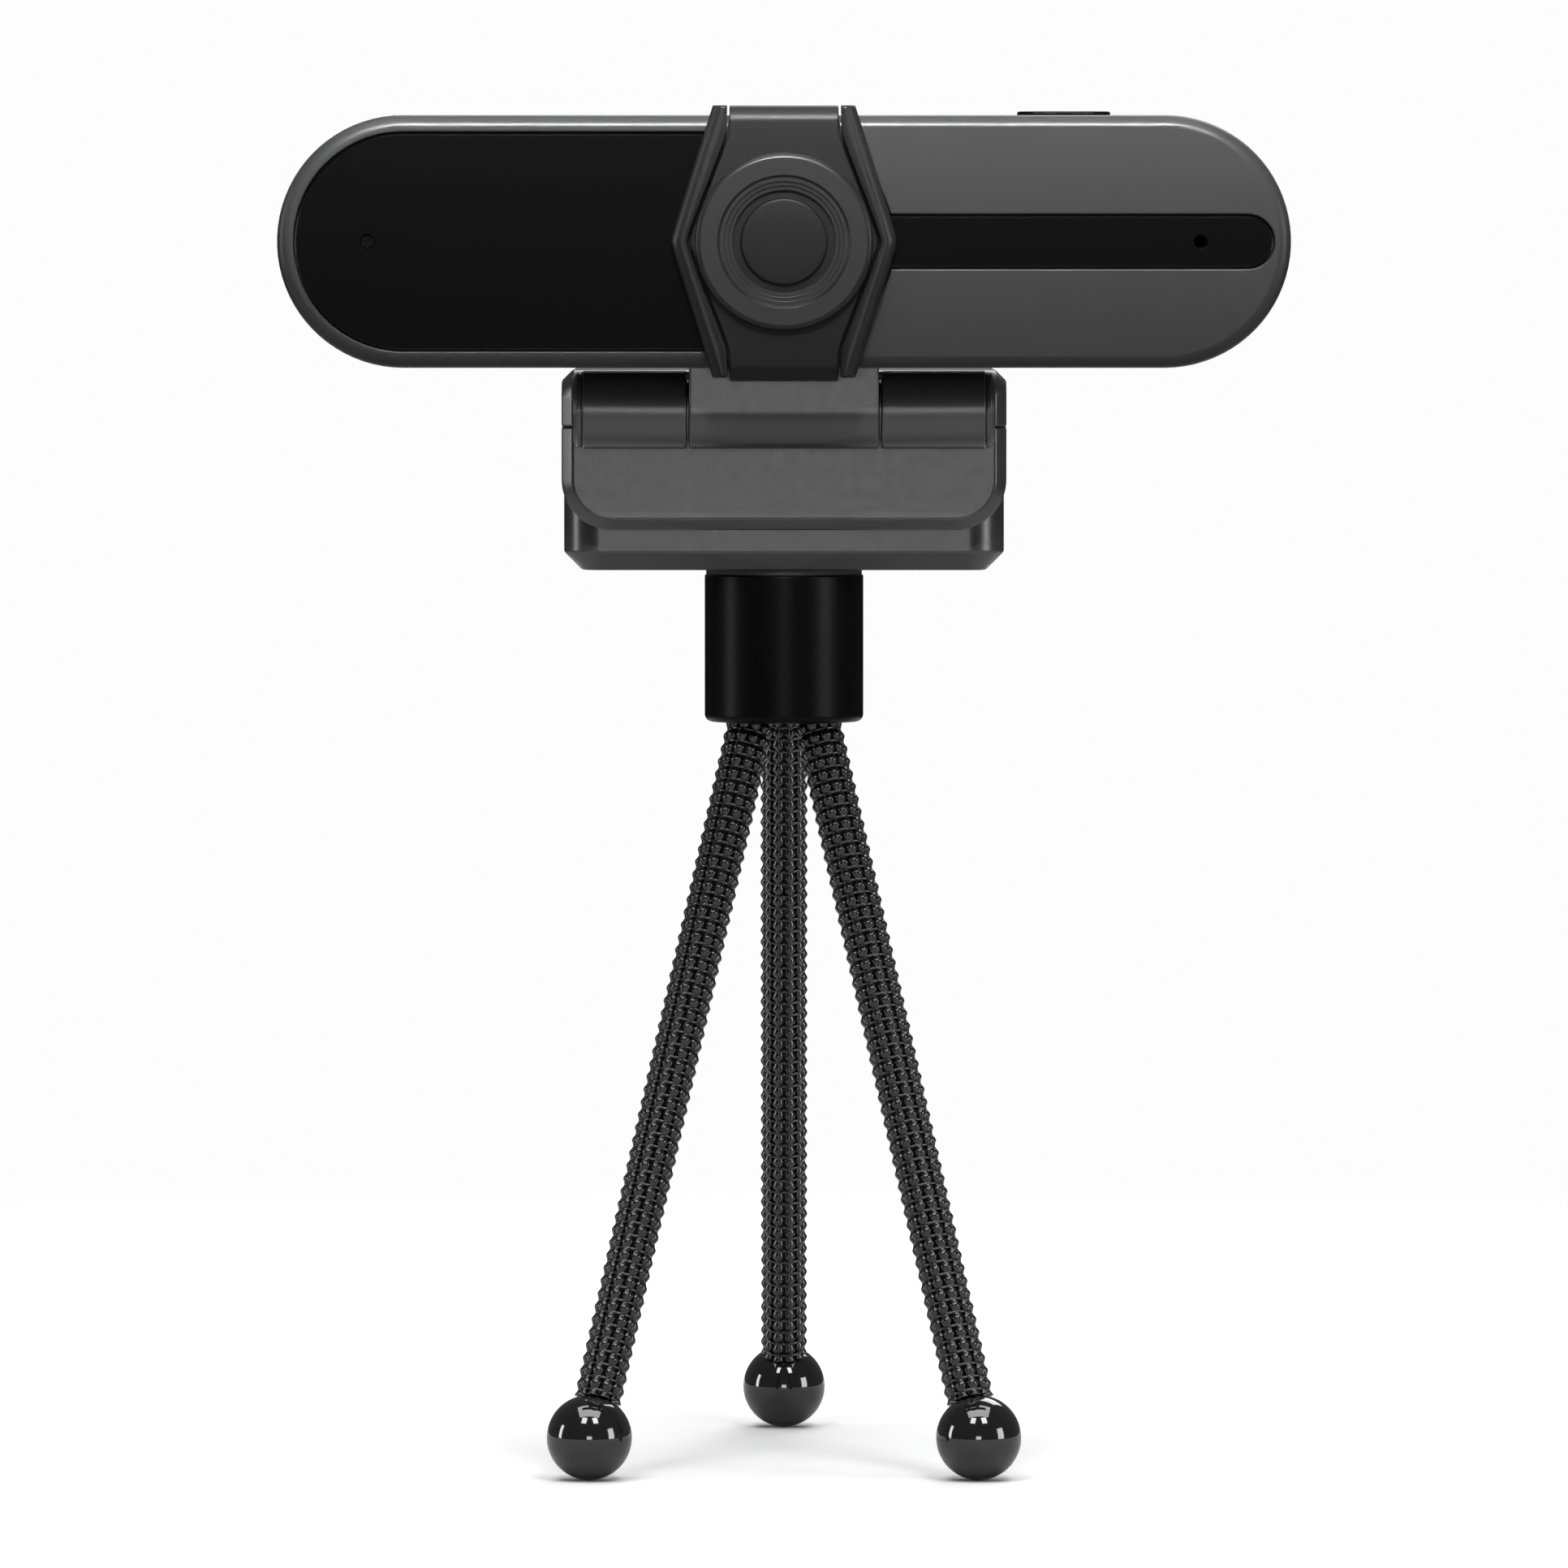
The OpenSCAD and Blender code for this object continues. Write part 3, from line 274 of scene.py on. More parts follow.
class Paint:
    """A node material: a Principled shader and the few nodes that give it texture."""

    def __init__(self, name, colour, roughness, **sockets):
        self.material = bpy.data.materials.new(name)
        self.material.use_nodes = True
        self.tree = self.material.node_tree
        self.shader = self.tree.nodes["Principled BSDF"]
        self.colour = (*colour, 1.0)
        self.shader.inputs["Base Color"].default_value = self.colour
        self.shader.inputs["Roughness"].default_value = roughness
        self.roughness = roughness
        for key, value in sockets.items():
            self.shader.inputs[key.replace("_", " ")].default_value = value
        self.coords = self.tree.nodes.new("ShaderNodeTexCoord")
        self.last_bump = None

    def node(self, kind, **settings):
        made = self.tree.nodes.new(kind)
        for key, value in settings.items():
            setattr(made, key, value)
        return made

    def link(self, a, b):
        self.tree.links.new(a, b)

    def cells(self, size_mm, stretch=(1.0, 1.0, 1.0)):
        """The object's coordinates, counted in cells of size_mm."""
        mapping = self.node("ShaderNodeMapping")
        mapping.inputs["Scale"].default_value = [1.0 / (size_mm * MM * s) for s in stretch]
        self.link(self.coords.outputs["Object"], mapping.inputs["Vector"])
        return mapping.outputs["Vector"]

    def noise(self, size_mm, detail=3.0, stretch=(1.0, 1.0, 1.0)):
        """Noise whose cells are about size_mm across."""
        noise = self.node("ShaderNodeTexNoise")
        noise.inputs["Scale"].default_value = 1.0
        noise.inputs["Detail"].default_value = detail
        self.link(self.cells(size_mm, stretch), noise.inputs["Vector"])
        return noise.outputs["Fac"]

    def ramp(self, source, low, high, from_low=0.3, from_high=0.7):
        remap = self.node("ShaderNodeMapRange")
        remap.inputs["From Min"].default_value = from_low
        remap.inputs["From Max"].default_value = from_high
        remap.inputs["To Min"].default_value = low
        remap.inputs["To Max"].default_value = high
        self.link(source, remap.inputs["Value"])
        return remap.outputs["Result"]

    def vary_roughness(self, size_mm, amount):
        fac = self.ramp(self.noise(size_mm), self.roughness - amount, self.roughness + amount)
        self.link(fac, self.shader.inputs["Roughness"])

    def mix_colour(self, fac, other):
        """Mixes what Base Color has now with another colour."""
        mix = self.node("ShaderNodeMix", data_type="RGBA")
        socket = self.shader.inputs["Base Color"]
        if socket.links:
            self.link(socket.links[0].from_socket, mix.inputs[6])
        else:
            mix.inputs[6].default_value = self.colour
        mix.inputs[7].default_value = (*other, 1.0)
        self.link(fac, mix.inputs[0])
        self.link(mix.outputs[2], socket)

    def bump(self, source, height_mm):
        bump = self.node("ShaderNodeBump")
        bump.inputs["Strength"].default_value = 1.0
        bump.inputs["Distance"].default_value = height_mm * MM
        self.link(source, bump.inputs["Height"])
        if self.last_bump:
            self.link(self.last_bump.outputs["Normal"], bump.inputs["Normal"])
        self.link(bump.outputs["Normal"], self.shader.inputs["Normal"])
        self.last_bump = bump


def moulded(name, colour, roughness, grain_mm=0.16, grain_height=0.006, **sockets):
    """Moulded plastic: fine spark-eroded grain and faint mottling."""
    paint = Paint(name, colour, roughness, **sockets)
    paint.mix_colour(paint.ramp(paint.noise(5.0), 0.0, 0.12), [c * 1.5 for c in colour])
    paint.vary_roughness(1.2, 0.012)
    paint.bump(paint.noise(grain_mm, 2.0), grain_height)
    return paint.material


def turned_metal(name, colour, roughness, stretch=(1.0, 1.0, 1.0), **sockets):
    paint = Paint(name, colour, roughness, Metallic=1.0, **sockets)
    paint.vary_roughness(2.0, 0.05)
    paint.bump(paint.noise(0.12, 2.0, stretch), 0.002)
    return paint.material


def clear_glass(name, colour, roughness=0.02, tint=None):
    paint = Paint(name, colour, roughness, Transmission_Weight=1.0, IOR=1.5, Coat_Weight=0.3)
    paint.vary_roughness(3.0, 0.01)
    if tint:
        paint.mix_colour(paint.ramp(paint.noise(4.0), 0.0, 0.5), tint)
    return paint.material


def rubber(name, colour):
    paint = Paint(name, colour, 0.75)
    paint.vary_roughness(2.0, 0.08)
    paint.bump(paint.noise(0.25, 4.0), 0.02)
    return paint.material


def gloss(name, colour):
    paint = Paint(name, colour, 0.07, Specular_IOR_Level=0.9, Coat_Weight=0.8, Coat_Roughness=0.04)
    paint.vary_roughness(1.6, 0.02)
    paint.bump(paint.noise(1.2, 2.0), 0.001)
    return paint.material


def board(name):
    paint = Paint(name, (0.02, 0.15, 0.06), 0.3, Coat_Weight=0.4)
    brick = paint.node("ShaderNodeTexBrick")
    brick.inputs["Scale"].default_value = 1.0
    brick.inputs["Mortar Size"].default_value = 0.06
    paint.link(paint.cells(1.6), brick.inputs["Vector"])
    paint.mix_colour(brick.outputs["Fac"], (0.05, 0.28, 0.12))
    paint.bump(brick.outputs["Fac"], 0.02)
    return paint.material


def braid_yarn(name):
    """Twisted yarn: fine fibres run at a slant along each strand."""
    paint = Paint(name, (0.0015, 0.0015, 0.0016), 0.22,
                  Specular_IOR_Level=0.7, Coat_Weight=0.9, Coat_Roughness=0.09)
    mapping = paint.node("ShaderNodeMapping")
    mapping.inputs["Rotation"].default_value = (0.0, 0.0, math.radians(24.0))
    mapping.inputs["Scale"].default_value = (5.0, 5.0, 5.0)
    paint.link(paint.coords.outputs["UV"], mapping.inputs["Vector"])
    wave = paint.node("ShaderNodeTexWave", wave_type="BANDS", bands_direction="X")
    wave.inputs["Scale"].default_value = 0.9
    wave.inputs["Distortion"].default_value = 1.2
    wave.inputs["Detail"].default_value = 2.0
    paint.link(mapping.outputs["Vector"], wave.inputs["Vector"])
    paint.mix_colour(paint.ramp(wave.outputs["Fac"], 0.0, 0.5, 0.2, 0.9), (0.006, 0.006, 0.0063))
    paint.vary_roughness(1.0, 0.06)
    paint.bump(wave.outputs["Fac"], 0.004)
    return paint.material


def make_materials():
    return {
        "charcoal_shell": moulded("charcoal_shell", (0.026, 0.026, 0.0264), 0.34, Specular_IOR_Level=0.25),
        # charcoal_clip is a lighter, glossier copy of the shell's charcoal: painted light on the clip parts, which
        # sit in the shade under the head.
        "charcoal_clip": moulded("charcoal_clip", (0.05, 0.05, 0.051), 0.3, Specular_IOR_Level=1.0),
        "charcoal_cover": moulded("charcoal_cover", (0.013, 0.013, 0.0133), 0.3, Specular_IOR_Level=0.27),
        "dark_strap": moulded("dark_strap", (0.006, 0.006, 0.0062), 0.42, Specular_IOR_Level=0.2),
        "black_insert": moulded("black_insert", (0.0014, 0.0014, 0.0015), 0.3, 0.1, 0.002,
                                Specular_IOR_Level=0.035),
        "bright_ring": turned_metal("bright_ring", (0.86, 0.86, 0.87), 0.16),
        "window_glass": clear_glass("window_glass", (0.9, 0.93, 0.97)),
        "lens_black": moulded("lens_black", (0.003, 0.003, 0.003), 0.6, Specular_IOR_Level=0.1),
        "barrel_metal": turned_metal("barrel_metal", (0.5, 0.46, 0.41), 0.38),
        "coated_glass": clear_glass("coated_glass", (0.5, 0.55, 0.9), 0.02, (0.75, 0.5, 0.85)),
        "filter_glass": clear_glass("filter_glass", (0.8, 0.4, 0.45)),
        "sensor": moulded("sensor", (0.06, 0.07, 0.06), 0.2),
        "board_green": board("board_green"),
        "led_white": moulded("led_white", (0.6, 0.62, 0.6), 0.4),
        "clear_plastic": moulded("clear_plastic", (0.002, 0.002, 0.0022), 0.3, Specular_IOR_Level=0.05),
        "steel": turned_metal("steel", (0.3, 0.3, 0.31), 0.36, (8.0, 1.0, 1.0)),
        "brass_insert": turned_metal("brass_insert", (0.78, 0.6, 0.3), 0.3),
        "soft_rubber": rubber("soft_rubber", (0.018, 0.018, 0.018)),
        "collar_pad": rubber("collar_pad", (0.06, 0.06, 0.06)),
        "collar_black": moulded("collar_black", (0.003, 0.003, 0.0032), 0.34, 0.2, 0.002,
                                Specular_IOR_Level=0.12),
        "leg_wire": turned_metal("leg_wire", (0.05, 0.045, 0.04), 0.5),
        "black_braid": braid_yarn("black_braid"),
        "ball_gloss": gloss("ball_gloss", (0.008, 0.008, 0.009)),
    }


FLOOR_SIDES, FLOOR_RADIUS = 96, 30.0
FLOOR_WHITE = (1.25, 1.25, 1.25, 1.0)   # brighter than any real floor, so that it meets the backdrop
FLOOR_FADE = (0.09, 0.42)         # metres from the middle over which the floor turns into the backdrop
FLOOR_SEEN = (0.16, 0.5)          # metres over which the floor's light on the object dies away
BOUNCE_NEAR, GLOSS_NEAR, BOUNCE_FAR = 0.22, 0.5, 0.03


def floor_paint():
    """A pale floor that fades into the backdrop; the light it throws back onto the object is held down."""
    paint = Paint("floor", FLOOR_WHITE[:3], 1.0)
    paint.tree.nodes.remove(paint.shader)
    lit = paint.node("ShaderNodeBsdfDiffuse")
    lit.inputs["Color"].default_value = FLOOR_WHITE
    distance = paint.node("ShaderNodeVectorMath", operation="LENGTH")
    paint.link(paint.coords.outputs["Object"], distance.inputs[0])
    path = paint.node("ShaderNodeLightPath")
    near = paint.ramp(path.outputs["Is Glossy Ray"], BOUNCE_NEAR, GLOSS_NEAR, 0.0, 1.0)
    level = paint.node("ShaderNodeMapRange")
    level.inputs["From Min"].default_value, level.inputs["From Max"].default_value = FLOOR_SEEN
    level.inputs["To Max"].default_value = BOUNCE_FAR
    paint.link(distance.outputs["Value"], level.inputs["Value"])
    paint.link(near, level.inputs["To Min"])
    dark = paint.node("ShaderNodeBsdfDiffuse")
    paint.link(level.outputs["Result"], dark.inputs["Color"])
    fade = paint.node("ShaderNodeMapRange", interpolation_type="SMOOTHERSTEP")
    fade.inputs["From Min"].default_value, fade.inputs["From Max"].default_value = FLOOR_FADE
    paint.link(distance.outputs["Value"], fade.inputs["Value"])
    glow = paint.node("ShaderNodeEmission")
    glow.inputs["Color"].default_value = BACKDROP
    seen = paint.node("ShaderNodeMixShader")
    paint.link(fade.outputs["Result"], seen.inputs["Fac"])
    paint.link(lit.outputs["BSDF"], seen.inputs[1])
    paint.link(glow.outputs["Emission"], seen.inputs[2])
    mix = paint.node("ShaderNodeMixShader")
    paint.link(path.outputs["Is Camera Ray"], mix.inputs["Fac"])
    paint.link(dark.outputs["BSDF"], mix.inputs[1])
    paint.link(seen.outputs["Shader"], mix.inputs[2])
    paint.link(mix.outputs["Shader"], paint.tree.nodes["Material Output"].inputs["Surface"])
    return paint.material


def make_floor():
    bpy.ops.mesh.primitive_circle_add(vertices=FLOOR_SIDES, radius=FLOOR_RADIUS, fill_type="NGON")
    floor = bpy.context.object
    floor.name = "floor"
    floor.data.materials.append(floor_paint())


# ---- CAD nodes that stay ----

SHELL_EDGE = 0.22            # mm
TRIM_EDGE = 0.07
NODE_WELD = 0.004
FLAT_WITHIN = 0.3            # degrees
EDGE_FROM = 35.0
SHELLS = ("front_bezel", "rear_shell", "clip_bracket", "clip_panel", "foot_shell", "neck", "tilt_caps",
          "fold_caps", "tripod_collar", "top_button", "cable_gland", "panel_pad", "foot_pad")


def slot_of(node):
    return next(s["material_slot"] for s in frame["record"]["subparts"] if s["node"] == node)


def finish_node(node, materials):
    """Gives a CAD node its material, softened edges and clean shading."""
    obj = frame["nodes"][node]
    obj.data.materials.clear()
    obj.data.materials.append(materials[slot_of(node)])
    weld = obj.modifiers.new("weld", "WELD")
    weld.merge_threshold = NODE_WELD * MM
    flat = obj.modifiers.new("flat", "DECIMATE")
    flat.decimate_type = "DISSOLVE"
    flat.angle_limit = math.radians(FLAT_WITHIN)
    bevel = obj.modifiers.new("bevel", "BEVEL")
    bevel.width = (SHELL_EDGE if node in SHELLS else TRIM_EDGE) * MM
    bevel.segments = 3
    bevel.limit_method = "ANGLE"
    bevel.angle_limit = math.radians(EDGE_FROM)
    bevel.use_clamp_overlap = False
    clean_normals(obj)
    obj.data.polygons.foreach_set("use_smooth", [True] * len(obj.data.polygons))


# ---- Privacy cover ----

RING_LOW, RING_HIGH = corners("cover_ring")
RING_R = (RING_HIGH.x - RING_LOW.x) / 2 / MM
RING_DEPTH = (RING_HIGH.y - RING_LOW.y) / MM
CAP_LOW, CAP_HIGH = corners("cover_cap")
CAP_R = (CAP_HIGH.x - CAP_LOW.x) / 2 / MM


def from_lens(radius, angle, depth):
    """A point round the lens axis; depth is counted from the cover's front, in mm."""
    return Vector((LENS.x + radius * math.cos(angle) * MM, RING_LOW.y + depth * MM,
                   LENS.z + radius * math.sin(angle) * MM))


def make_cover_ring(materials):
    steps = [(RING_R, 1.3), (RING_R, 0.0), (7.1, 0.0), (6.85, 0.3), (6.4, 0.3), (6.4, 0.55), (5.95, 0.55),
             (5.95, 0.8), (5.5, 0.8), (5.5, 1.7), (CAP_R + 0.1, 1.7), (CAP_R + 0.1, RING_DEPTH),
             (RING_R - 1.15, RING_DEPTH), (RING_R - 1.15, 1.3)]
    radii = [0.1, 0.8, 0.12, 0.06, 0.05, 0.05, 0.05, 0.05, 0.05, 0.05, 0.05, 0.05, 0.05, 0.0]
    bm = bmesh.new()
    lathe(bm, rounded(steps, radii), from_lens, 160)
    ring = finished("cap_ring", bm, slot_of("cover_ring"), materials)
    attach(ring, "cover")
    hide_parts("cover_ring")


def make_cover_cap(materials):
    front = 0.75
    steps = [(0.0, front - 0.06), (CAP_R * 0.6, front - 0.03), (CAP_R, front),
             (CAP_R, RING_DEPTH), (0.0, RING_DEPTH)]
    bm = bmesh.new()
    lathe(bm, rounded(steps, [0, 0, 0.28, 0.05, 0], closed=False), from_lens, 128)
    cap = finished("round_cap", bm, slot_of("cover_cap"), materials)
    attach(cap, "cover")
    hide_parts("cover_cap")


FRAME_LOW, FRAME_HIGH = corners("cover_frame")
STRAP_LOW, STRAP_HIGH = corners("cover_strap")
HALF_BODY = (BODY_HIGH.z - BODY_LOW.z) / 2 / MM
FLAP_END = (FRAME_HIGH.y - RING_LOW.y) / MM
COVER_BACK = (BODY_LOW.y - RING_LOW.y) / MM - 0.6
FRAME_MID, FRAME_END = (FRAME_HIGH.x - FRAME_LOW.x) / 2 / MM, 7.6
FRAME_UP = (FRAME_HIGH.z - LENS.z) / MM
STRAP_MID, STRAP_END = FRAME_MID - 2.0, 5.8
STRAP_UP, STRAP_DOWN = (STRAP_HIGH.z - LENS.z) / MM, (LENS.z - STRAP_LOW.z) / MM
KNEE = HALF_BODY - 2.0
GROOVE = 0.3
BAND_T, BAND_BEVEL, BAND_FLOOR = 2.1, 1.0, 0.5
STRAP_FRONT, STRAP_T, FLAP_T = 1.3, 1.1, 0.85
FLAP_GAP = 0.15
STRAP_BEND = 1.7


def on_face(x, z, depth):
    """A point from its place across the face and its depth behind the cover's front, in mm."""
    return Vector((LENS.x + x * MM, RING_LOW.y + depth * MM, LENS.z + z * MM))


def soft_positive(value, softness):
    return (value + math.hypot(value, softness)) / 2


def strap_half(z):
    """Half width of the strap at a height: parallel at its ends, six-sided between them."""
    slope = (STRAP_MID - STRAP_END) / KNEE
    return STRAP_END + soft_positive(slope * (KNEE - math.hypot(z, 0.5)), 0.25)


def band_half(z):
    slope = (FRAME_MID - FRAME_END) / FRAME_UP
    return FRAME_MID - slope * math.hypot(z, 0.5)


def make_cover_frame(materials):
    """Two bevelled side bands with a flap at each end, joined by a thin floor behind the strap."""
    bm = bmesh.new()
    front = COVER_BACK - BAND_T
    lip = 0.12
    for side in (1, -1):
        rings = []
        for z in spread(-FRAME_UP, FRAME_UP, 96):
            outer, inner = band_half(z), strap_half(z) + GROOVE
            bevel = min(BAND_BEVEL, 0.62 * (outer - inner))
            section = [(outer, COVER_BACK), (outer, front + BAND_BEVEL),
                       (outer - 0.22 * bevel, front + 0.55 * BAND_BEVEL), (outer - 0.9 * bevel, front + 0.04),
                       (outer - bevel - 0.08, front), (inner + lip, front),
                       (inner, front + lip), (inner, COVER_BACK)]
            rings.append([on_face(side * x, z, depth) for x, depth in section])
        loft(bm, rings)
        for up in (1, -1):
            low, high = sorted((up * (HALF_BODY + FLAP_GAP), up * FRAME_UP))
            tab = [(STRAP_END + GROOVE, low), (FRAME_END, low), (FRAME_END, high), (STRAP_END + GROOVE, high)]
            flap = [[on_face(side * x, z, depth) for x, z in tab]
                    for depth in (COVER_BACK - 0.3, FLAP_END - 0.4)]
            flap.append([on_face(side * (x + (0.2 if x < 7 else -0.2)), z, FLAP_END) for x, z in tab])
            loft(bm, flap)
    angles = [2 * math.pi * k / 96 for k in range(96)]
    slope = (STRAP_MID - STRAP_END) / KNEE
    edge = [min((STRAP_MID + 0.6) / (abs(math.cos(t)) + slope * abs(math.sin(t))),
                (HALF_BODY - 0.3) / max(abs(math.sin(t)), 1e-6)) for t in angles]
    low, high = COVER_BACK - BAND_FLOOR, COVER_BACK - 0.01
    loops = [(8.6, low), (None, low), (None, high), (8.6, high)]
    loft(bm, [[on_face((r or reach) * math.cos(t), (r or reach) * math.sin(t), depth)
               for t, reach in zip(angles, edge)] for r, depth in loops], closed=True)
    piece = finished("cover_bands", bm, slot_of("cover_frame"), materials)
    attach(piece, "cover")
    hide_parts("cover_frame")


def make_cover_strap(materials):
    """One strip: a flap over the camera, a bend, the front plate, and the same again below."""
    bend_top = (STRAP_FRONT + STRAP_BEND, STRAP_UP - STRAP_BEND)
    bend_low = (STRAP_FRONT + STRAP_BEND, -STRAP_DOWN + STRAP_BEND)
    low_t = STRAP_DOWN - HALF_BODY - FLAP_GAP
    path = [(depth, STRAP_UP, 90.0, FLAP_T) for depth in spread(FLAP_END, bend_top[0], 3)[:-1]]
    for angle in spread(90.0, 180.0, 12):
        t = math.radians(angle)
        path.append((bend_top[0] + STRAP_BEND * math.cos(t), bend_top[1] + STRAP_BEND * math.sin(t), angle,
                     FLAP_T + (STRAP_T - FLAP_T) * (angle - 90.0) / 90.0))
    path += [(STRAP_FRONT, z, 180.0, STRAP_T) for z in spread(bend_top[1], bend_low[1], 90)[1:-1]]
    for angle in spread(180.0, 270.0, 12):
        t = math.radians(angle)
        path.append((bend_low[0] + STRAP_BEND * math.cos(t), bend_low[1] + STRAP_BEND * math.sin(t), angle,
                     STRAP_T + (low_t - STRAP_T) * (angle - 180.0) / 90.0))
    path += [(depth, -STRAP_DOWN, 270.0, low_t) for depth in spread(bend_low[0], FLAP_END, 3)[1:]]
    chamfer = 0.14
    rings = []
    for depth, z, angle, thick in path:
        t = math.radians(angle)
        half = strap_half(z) if 175.0 < angle < 185.0 else STRAP_END + 0.02
        section = [(-half, chamfer), (-half + 0.3 * chamfer, 0.3 * chamfer), (-half + chamfer, 0.0),
                   (half - chamfer, 0.0), (half - 0.3 * chamfer, 0.3 * chamfer), (half, chamfer),
                   (half, thick), (-half, thick)]
        rings.append([on_face(x, z - inward * math.sin(t), depth - inward * math.cos(t))
                      for x, inward in section])
    bm = bmesh.new()
    loft(bm, rings)
    piece = finished("cover_band", bm, slot_of("cover_strap"), materials)
    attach(piece, "cover")
    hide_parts("cover_strap")


# ---- Feet ----

DOME_STEPS = 48


def spread_angles(start):
    """Angles from start to the far pole of a ball."""
    return [start + (math.pi - start) * k / DOME_STEPS for k in range(DOME_STEPS + 1)]


def make_ball(side, materials):
    """A glossy ball, drilled where its leg is glued in."""
    low, high = corners(f"ball_{side}")
    radius = (high.x - low.x) / 2 / MM
    centre = (low + high) / 2
    _, down, _, _ = leg_line(side)
    e1, e2 = leg_axes(down)

    def place(r, angle, depth):
        return centre + (down * depth + (e1 * math.cos(angle) + e2 * math.sin(angle)) * r) * MM

    mouth, drilled = 2.05, 2.6     # mm: radius and depth of the hole
    start = math.asin(mouth / radius)
    dome = [(radius * math.sin(a), -radius * math.cos(a)) for a in spread_angles(start)]
    wall = mouth - 0.15
    profile = [(0.0, drilled - radius), (wall, drilled - radius), (wall, dome[0][1] + 0.25)] + dome
    profile[-1] = (0.0, profile[-1][1])
    bm = bmesh.new()
    lathe(bm, profile, place, 96)
    ball = finished(f"foot_ball_{side}", bm, slot_of(f"ball_{side}"), materials)
    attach(ball, f"leg_{side}_lower")
    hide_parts(f"ball_{side}")


# ---- Woven sleeves: beads between thin hoops ----

COLUMNS = 10           # strands that run down the leg
ROW = 1.46             # distance between the hoops; this and the sizes below are in mm
STRAND_W, STRAND_T = 1.36, 1.0
HOOP_W, HOOP_T = 0.34, 0.24
DIP = 0.26             # how far the long strands dip at the hoops
PINCH = 0.3            # how much of their width they lose there
BRAID_STEP = 0.146
HOOP_STEPS = 48
SLEEVE_R = 2.6
LINING_R = SLEEVE_R - 0.8
CORE_R = 1.5
TUBE_STEP, TUBE_SIDES = 1.2, 24
LEG_START = -4.0       # the sleeve starts this far inside the collar
INTO_BALL = 0.35
WIRE_START, WIRE_INTO_BALL = LEG_START - 0.4, 2.2


def leg_line(side):
    """Root point and unit direction of a leg's axis, and the distances along it of its two hinges."""
    splay, bend = (Vector(JOINTS[f"leg_{side}_{kind}"]["pos_m"]) for kind in ("splay", "bend"))
    down = (bend - splay).normalized()
    collar_low = corners("tripod_collar")[0].z
    root = splay + down * ((collar_low - splay.z) / down.z)
    return root, down, (splay - root).length / MM, (bend - root).length / MM


def leg_axes(along):
    e1 = along.cross(Vector((0, 0, 1))).normalized()
    return e1, along.cross(e1)


def strand_section(centre, side, out, width, thick):
    """Eight points round a flattened strand."""
    return [centre + side * (0.5 * width * MM * math.cos(t)) + out * (0.5 * thick * MM * math.sin(t))
            for t in (math.pi * k / 4 for k in range(8))]


def long_strand(index, s0, s1, root, along):
    """Sections of a strand that runs down the leg and bulges between the hoops, from s0 to s1 mm."""
    e1, e2 = leg_axes(along)
    angle = 2 * math.pi * index / COLUMNS
    out = math.cos(angle) * e1 + math.sin(angle) * e2
    side = -math.sin(angle) * e1 + math.cos(angle) * e2
    steps = max(2, round((s1 - s0) / BRAID_STEP))
    rings = []
    for s in spread(s0, s1, steps):
        dip = (1 + math.cos(2 * math.pi * s / ROW)) / 2
        radius = SLEEVE_R - 0.5 * STRAND_T - DIP * dip
        rings.append(strand_section(root + along * (s * MM) + out * (radius * MM), side, out,
                                    STRAND_W * (1 - PINCH * dip), STRAND_T))
    return rings


def hoop_strand(row, root, along):
    """Sections of a thin strand that runs once round the leg and holds the long ones down."""
    e1, e2 = leg_axes(along)
    rings = []
    for k in range(HOOP_STEPS):
        angle = 2 * math.pi * k / HOOP_STEPS
        out = math.cos(angle) * e1 + math.sin(angle) * e2
        radius = SLEEVE_R - DIP - 0.5 * HOOP_T
        rings.append(strand_section(root + along * (row * ROW * MM) + out * (radius * MM), along, out,
                                    HOOP_W, HOOP_T))
    return rings


def tube(bm, root, along, radius, s0, s1):
    """A closed round bar along a leg."""
    e1, e2 = leg_axes(along)
    count = max(2, round((s1 - s0) / TUBE_STEP))
    rings = []
    for i in range(count + 1):
        centre = root + along * ((s0 + (s1 - s0) * i / count) * MM)
        rings.append([bm.verts.new(centre + (math.cos(t) * e1 + math.sin(t) * e2) * (radius * MM))
                      for t in (2 * math.pi * j / TUBE_SIDES for j in range(TUBE_SIDES))])
    for a, b in zip(rings, rings[1:]):
        for j in range(TUBE_SIDES):
            k = (j + 1) % TUBE_SIDES
            bm.faces.new([a[j], a[k], b[k], b[j]])
    bm.faces.new(rings[0])
    bm.faces.new(rings[-1][::-1])


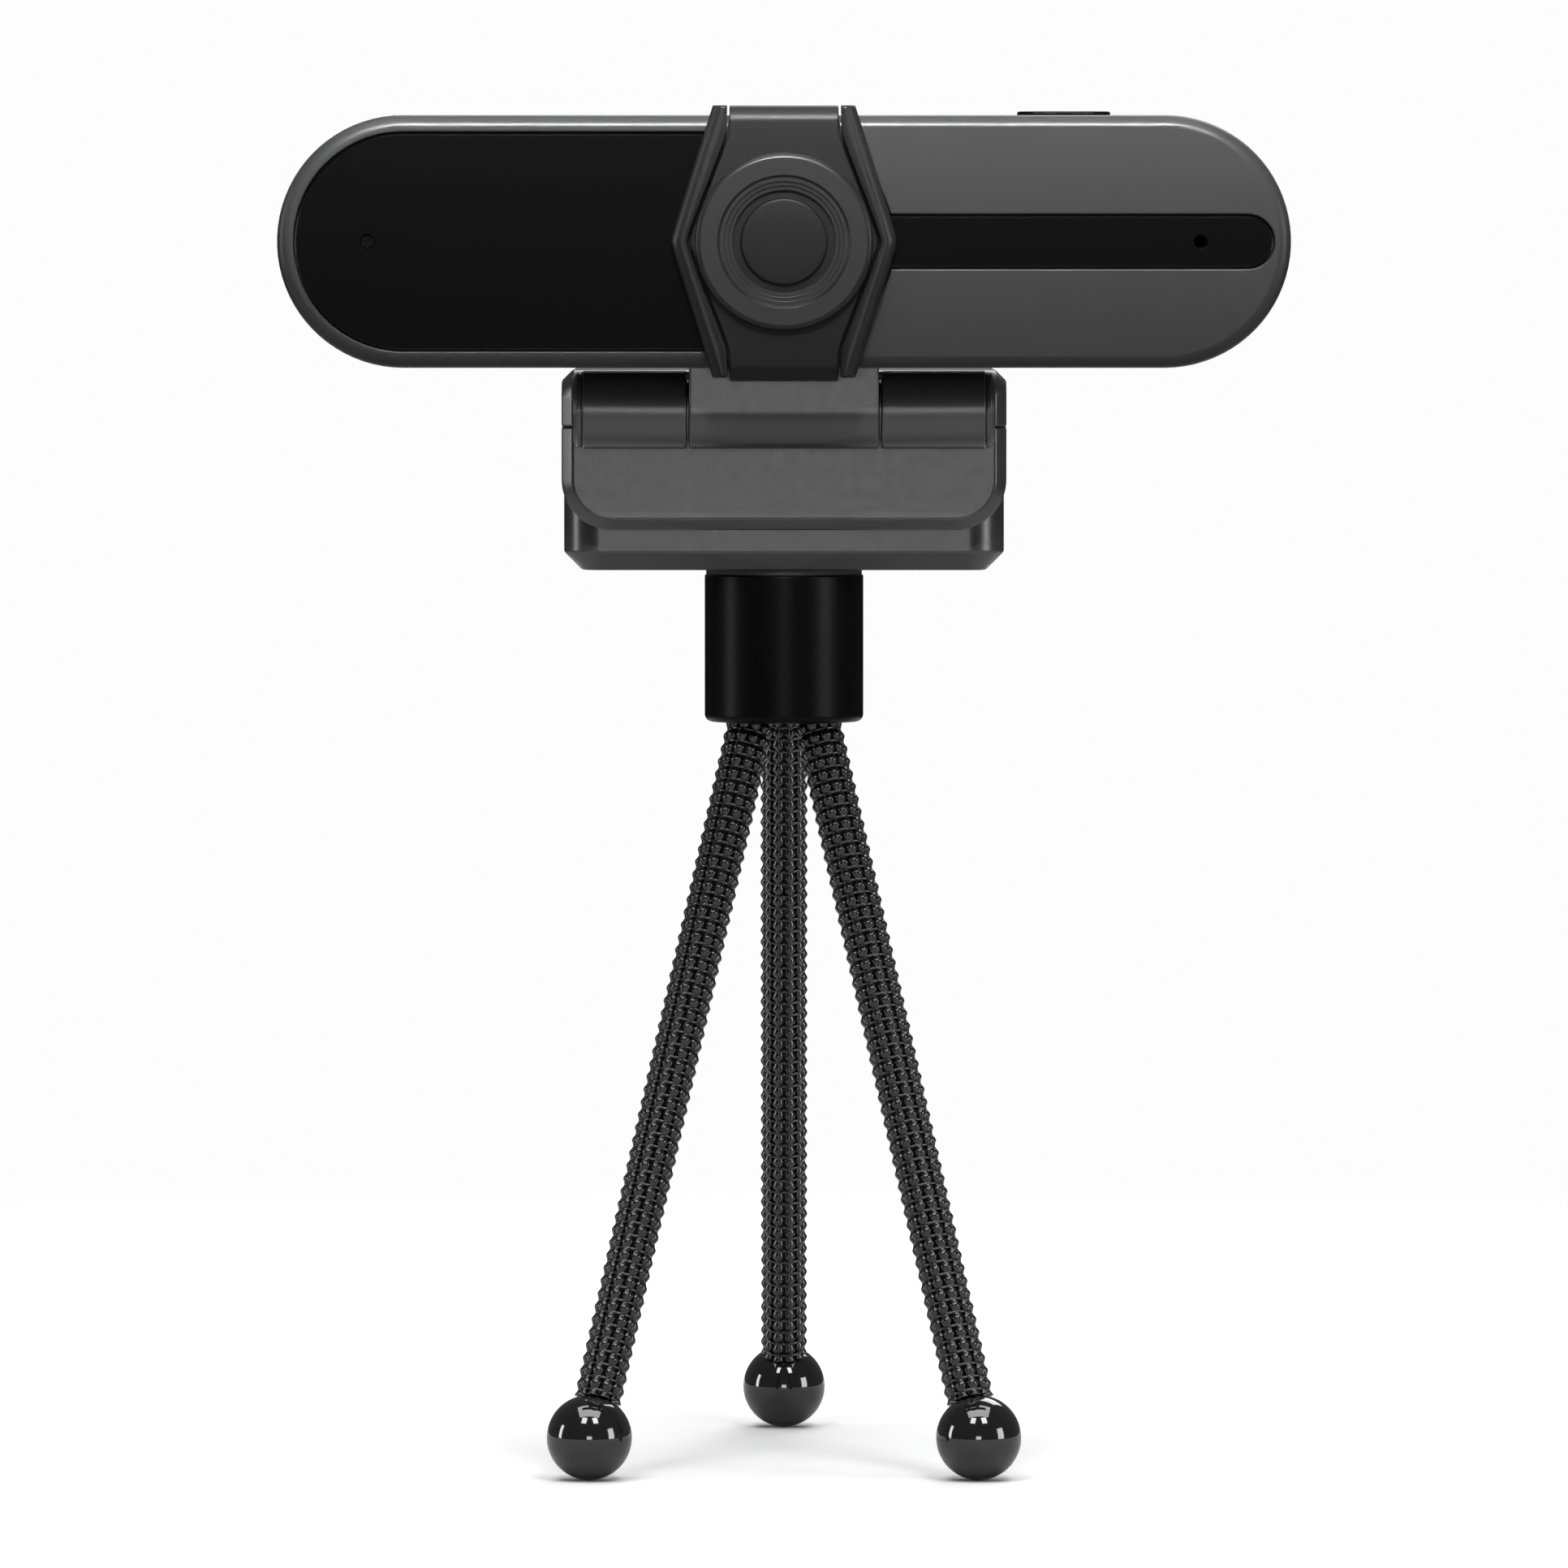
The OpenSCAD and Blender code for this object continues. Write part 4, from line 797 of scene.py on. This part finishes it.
def braid(name, side, s0, s1, materials):
    """One stretch of a sleeve: long strands that bulge between hoops, over a dark lining."""
    root, along, _, _ = leg_line(side)
    bm = bmesh.new()
    uv = bm.loops.layers.uv.new("strand")
    strands = [(long_strand(index, s0, s1, root, along), False) for index in range(COLUMNS)]
    strands += [(hoop_strand(row, root, along), True)
                for row in range(math.ceil(s0 / ROW), math.ceil(s1 / ROW))]
    for places, closed in strands:
        rings = [[bm.verts.new(p) for p in ring] for ring in places]
        count = len(rings[0])
        for i in range(len(rings) - (0 if closed else 1)):
            ahead = rings[(i + 1) % len(rings)]
            for j in range(count):
                k = (j + 1) % count
                face = bm.faces.new([rings[i][j], ahead[j], ahead[k], rings[i][k]])
                for loop, (u, v) in zip(face.loops, ((j, i), (j, i + 1), (j + 1, i + 1), (j + 1, i))):
                    loop[uv].uv = (2.0 * u / count, v * BRAID_STEP)
        if not closed:
            bm.faces.new(rings[0])
            bm.faces.new(rings[-1][::-1])
    tube(bm, root, along, LINING_R, s0, s1)
    bmesh.ops.recalc_face_normals(bm, faces=bm.faces)
    mesh = bpy.data.meshes.new(name)
    bm.to_mesh(mesh)
    bm.free()
    mesh.polygons.foreach_set("use_smooth", [True] * len(mesh.polygons))
    mesh.materials.append(materials["black_braid"])
    obj = bpy.data.objects.new(name, mesh)
    bpy.context.collection.objects.link(obj)
    return obj


def wire(name, side, s0, s1, materials):
    root, along, _, _ = leg_line(side)
    bm = bmesh.new()
    tube(bm, root, along, CORE_R, s0, s1)
    return finished(name, bm, "leg_wire", materials)


ROOT_ZONE = 3.4        # half lengths, in mm, of the zones round a leg's two hinges; they only set where the sleeve's two stretches meet
MID_ZONE = 7.0


def make_leg(side, materials):
    """A leg's sleeve and wire, each in two stretches that meet half way between its two bends."""
    root, along, splay_s, bend_s = leg_line(side)
    low, high = corners(f"ball_{side}")
    ball_s = ((low + high) / 2 - root).length / MM
    ball_r = (high.x - low.x) / 2 / MM
    end = ball_s - ball_r + INTO_BALL
    meet = (splay_s + ROOT_ZONE + bend_s - MID_ZONE) / 2
    uppers = (braid(f"braid_upper_{side}", side, LEG_START, meet, materials),
              wire(f"wire_upper_{side}", side, WIRE_START, meet, materials))
    lowers = (braid(f"braid_lower_{side}", side, meet, end, materials),
              wire(f"wire_lower_{side}", side, meet, end + WIRE_INTO_BALL, materials))
    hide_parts(f"sleeve_{side}")
    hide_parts(f"core_upper_{side}", *(("leg_stubs",) if side == "left" else ()))
    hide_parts(f"core_lower_{side}")

    for piece in uppers:
        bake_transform(piece)
    for piece in lowers:
        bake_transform(piece)


# ---- Build ----

make_camera()
make_world()
make_lights()
MATERIALS = make_materials()
make_floor()
REBUILT = {"cover_ring", "cover_cap", "cover_frame", "cover_strap", "leg_stubs"}
REBUILT |= {f"{kind}_{side}" for kind in ("sleeve", "core_upper", "core_lower", "ball") for side in SIDES}
for node_name in frame["nodes"]:
    if node_name not in REBUILT:
        finish_node(node_name, MATERIALS)
make_cover_ring(MATERIALS)
make_cover_cap(MATERIALS)
make_cover_frame(MATERIALS)
make_cover_strap(MATERIALS)
for leg_side in SIDES:
    make_leg(leg_side, MATERIALS)
    make_ball(leg_side, MATERIALS)
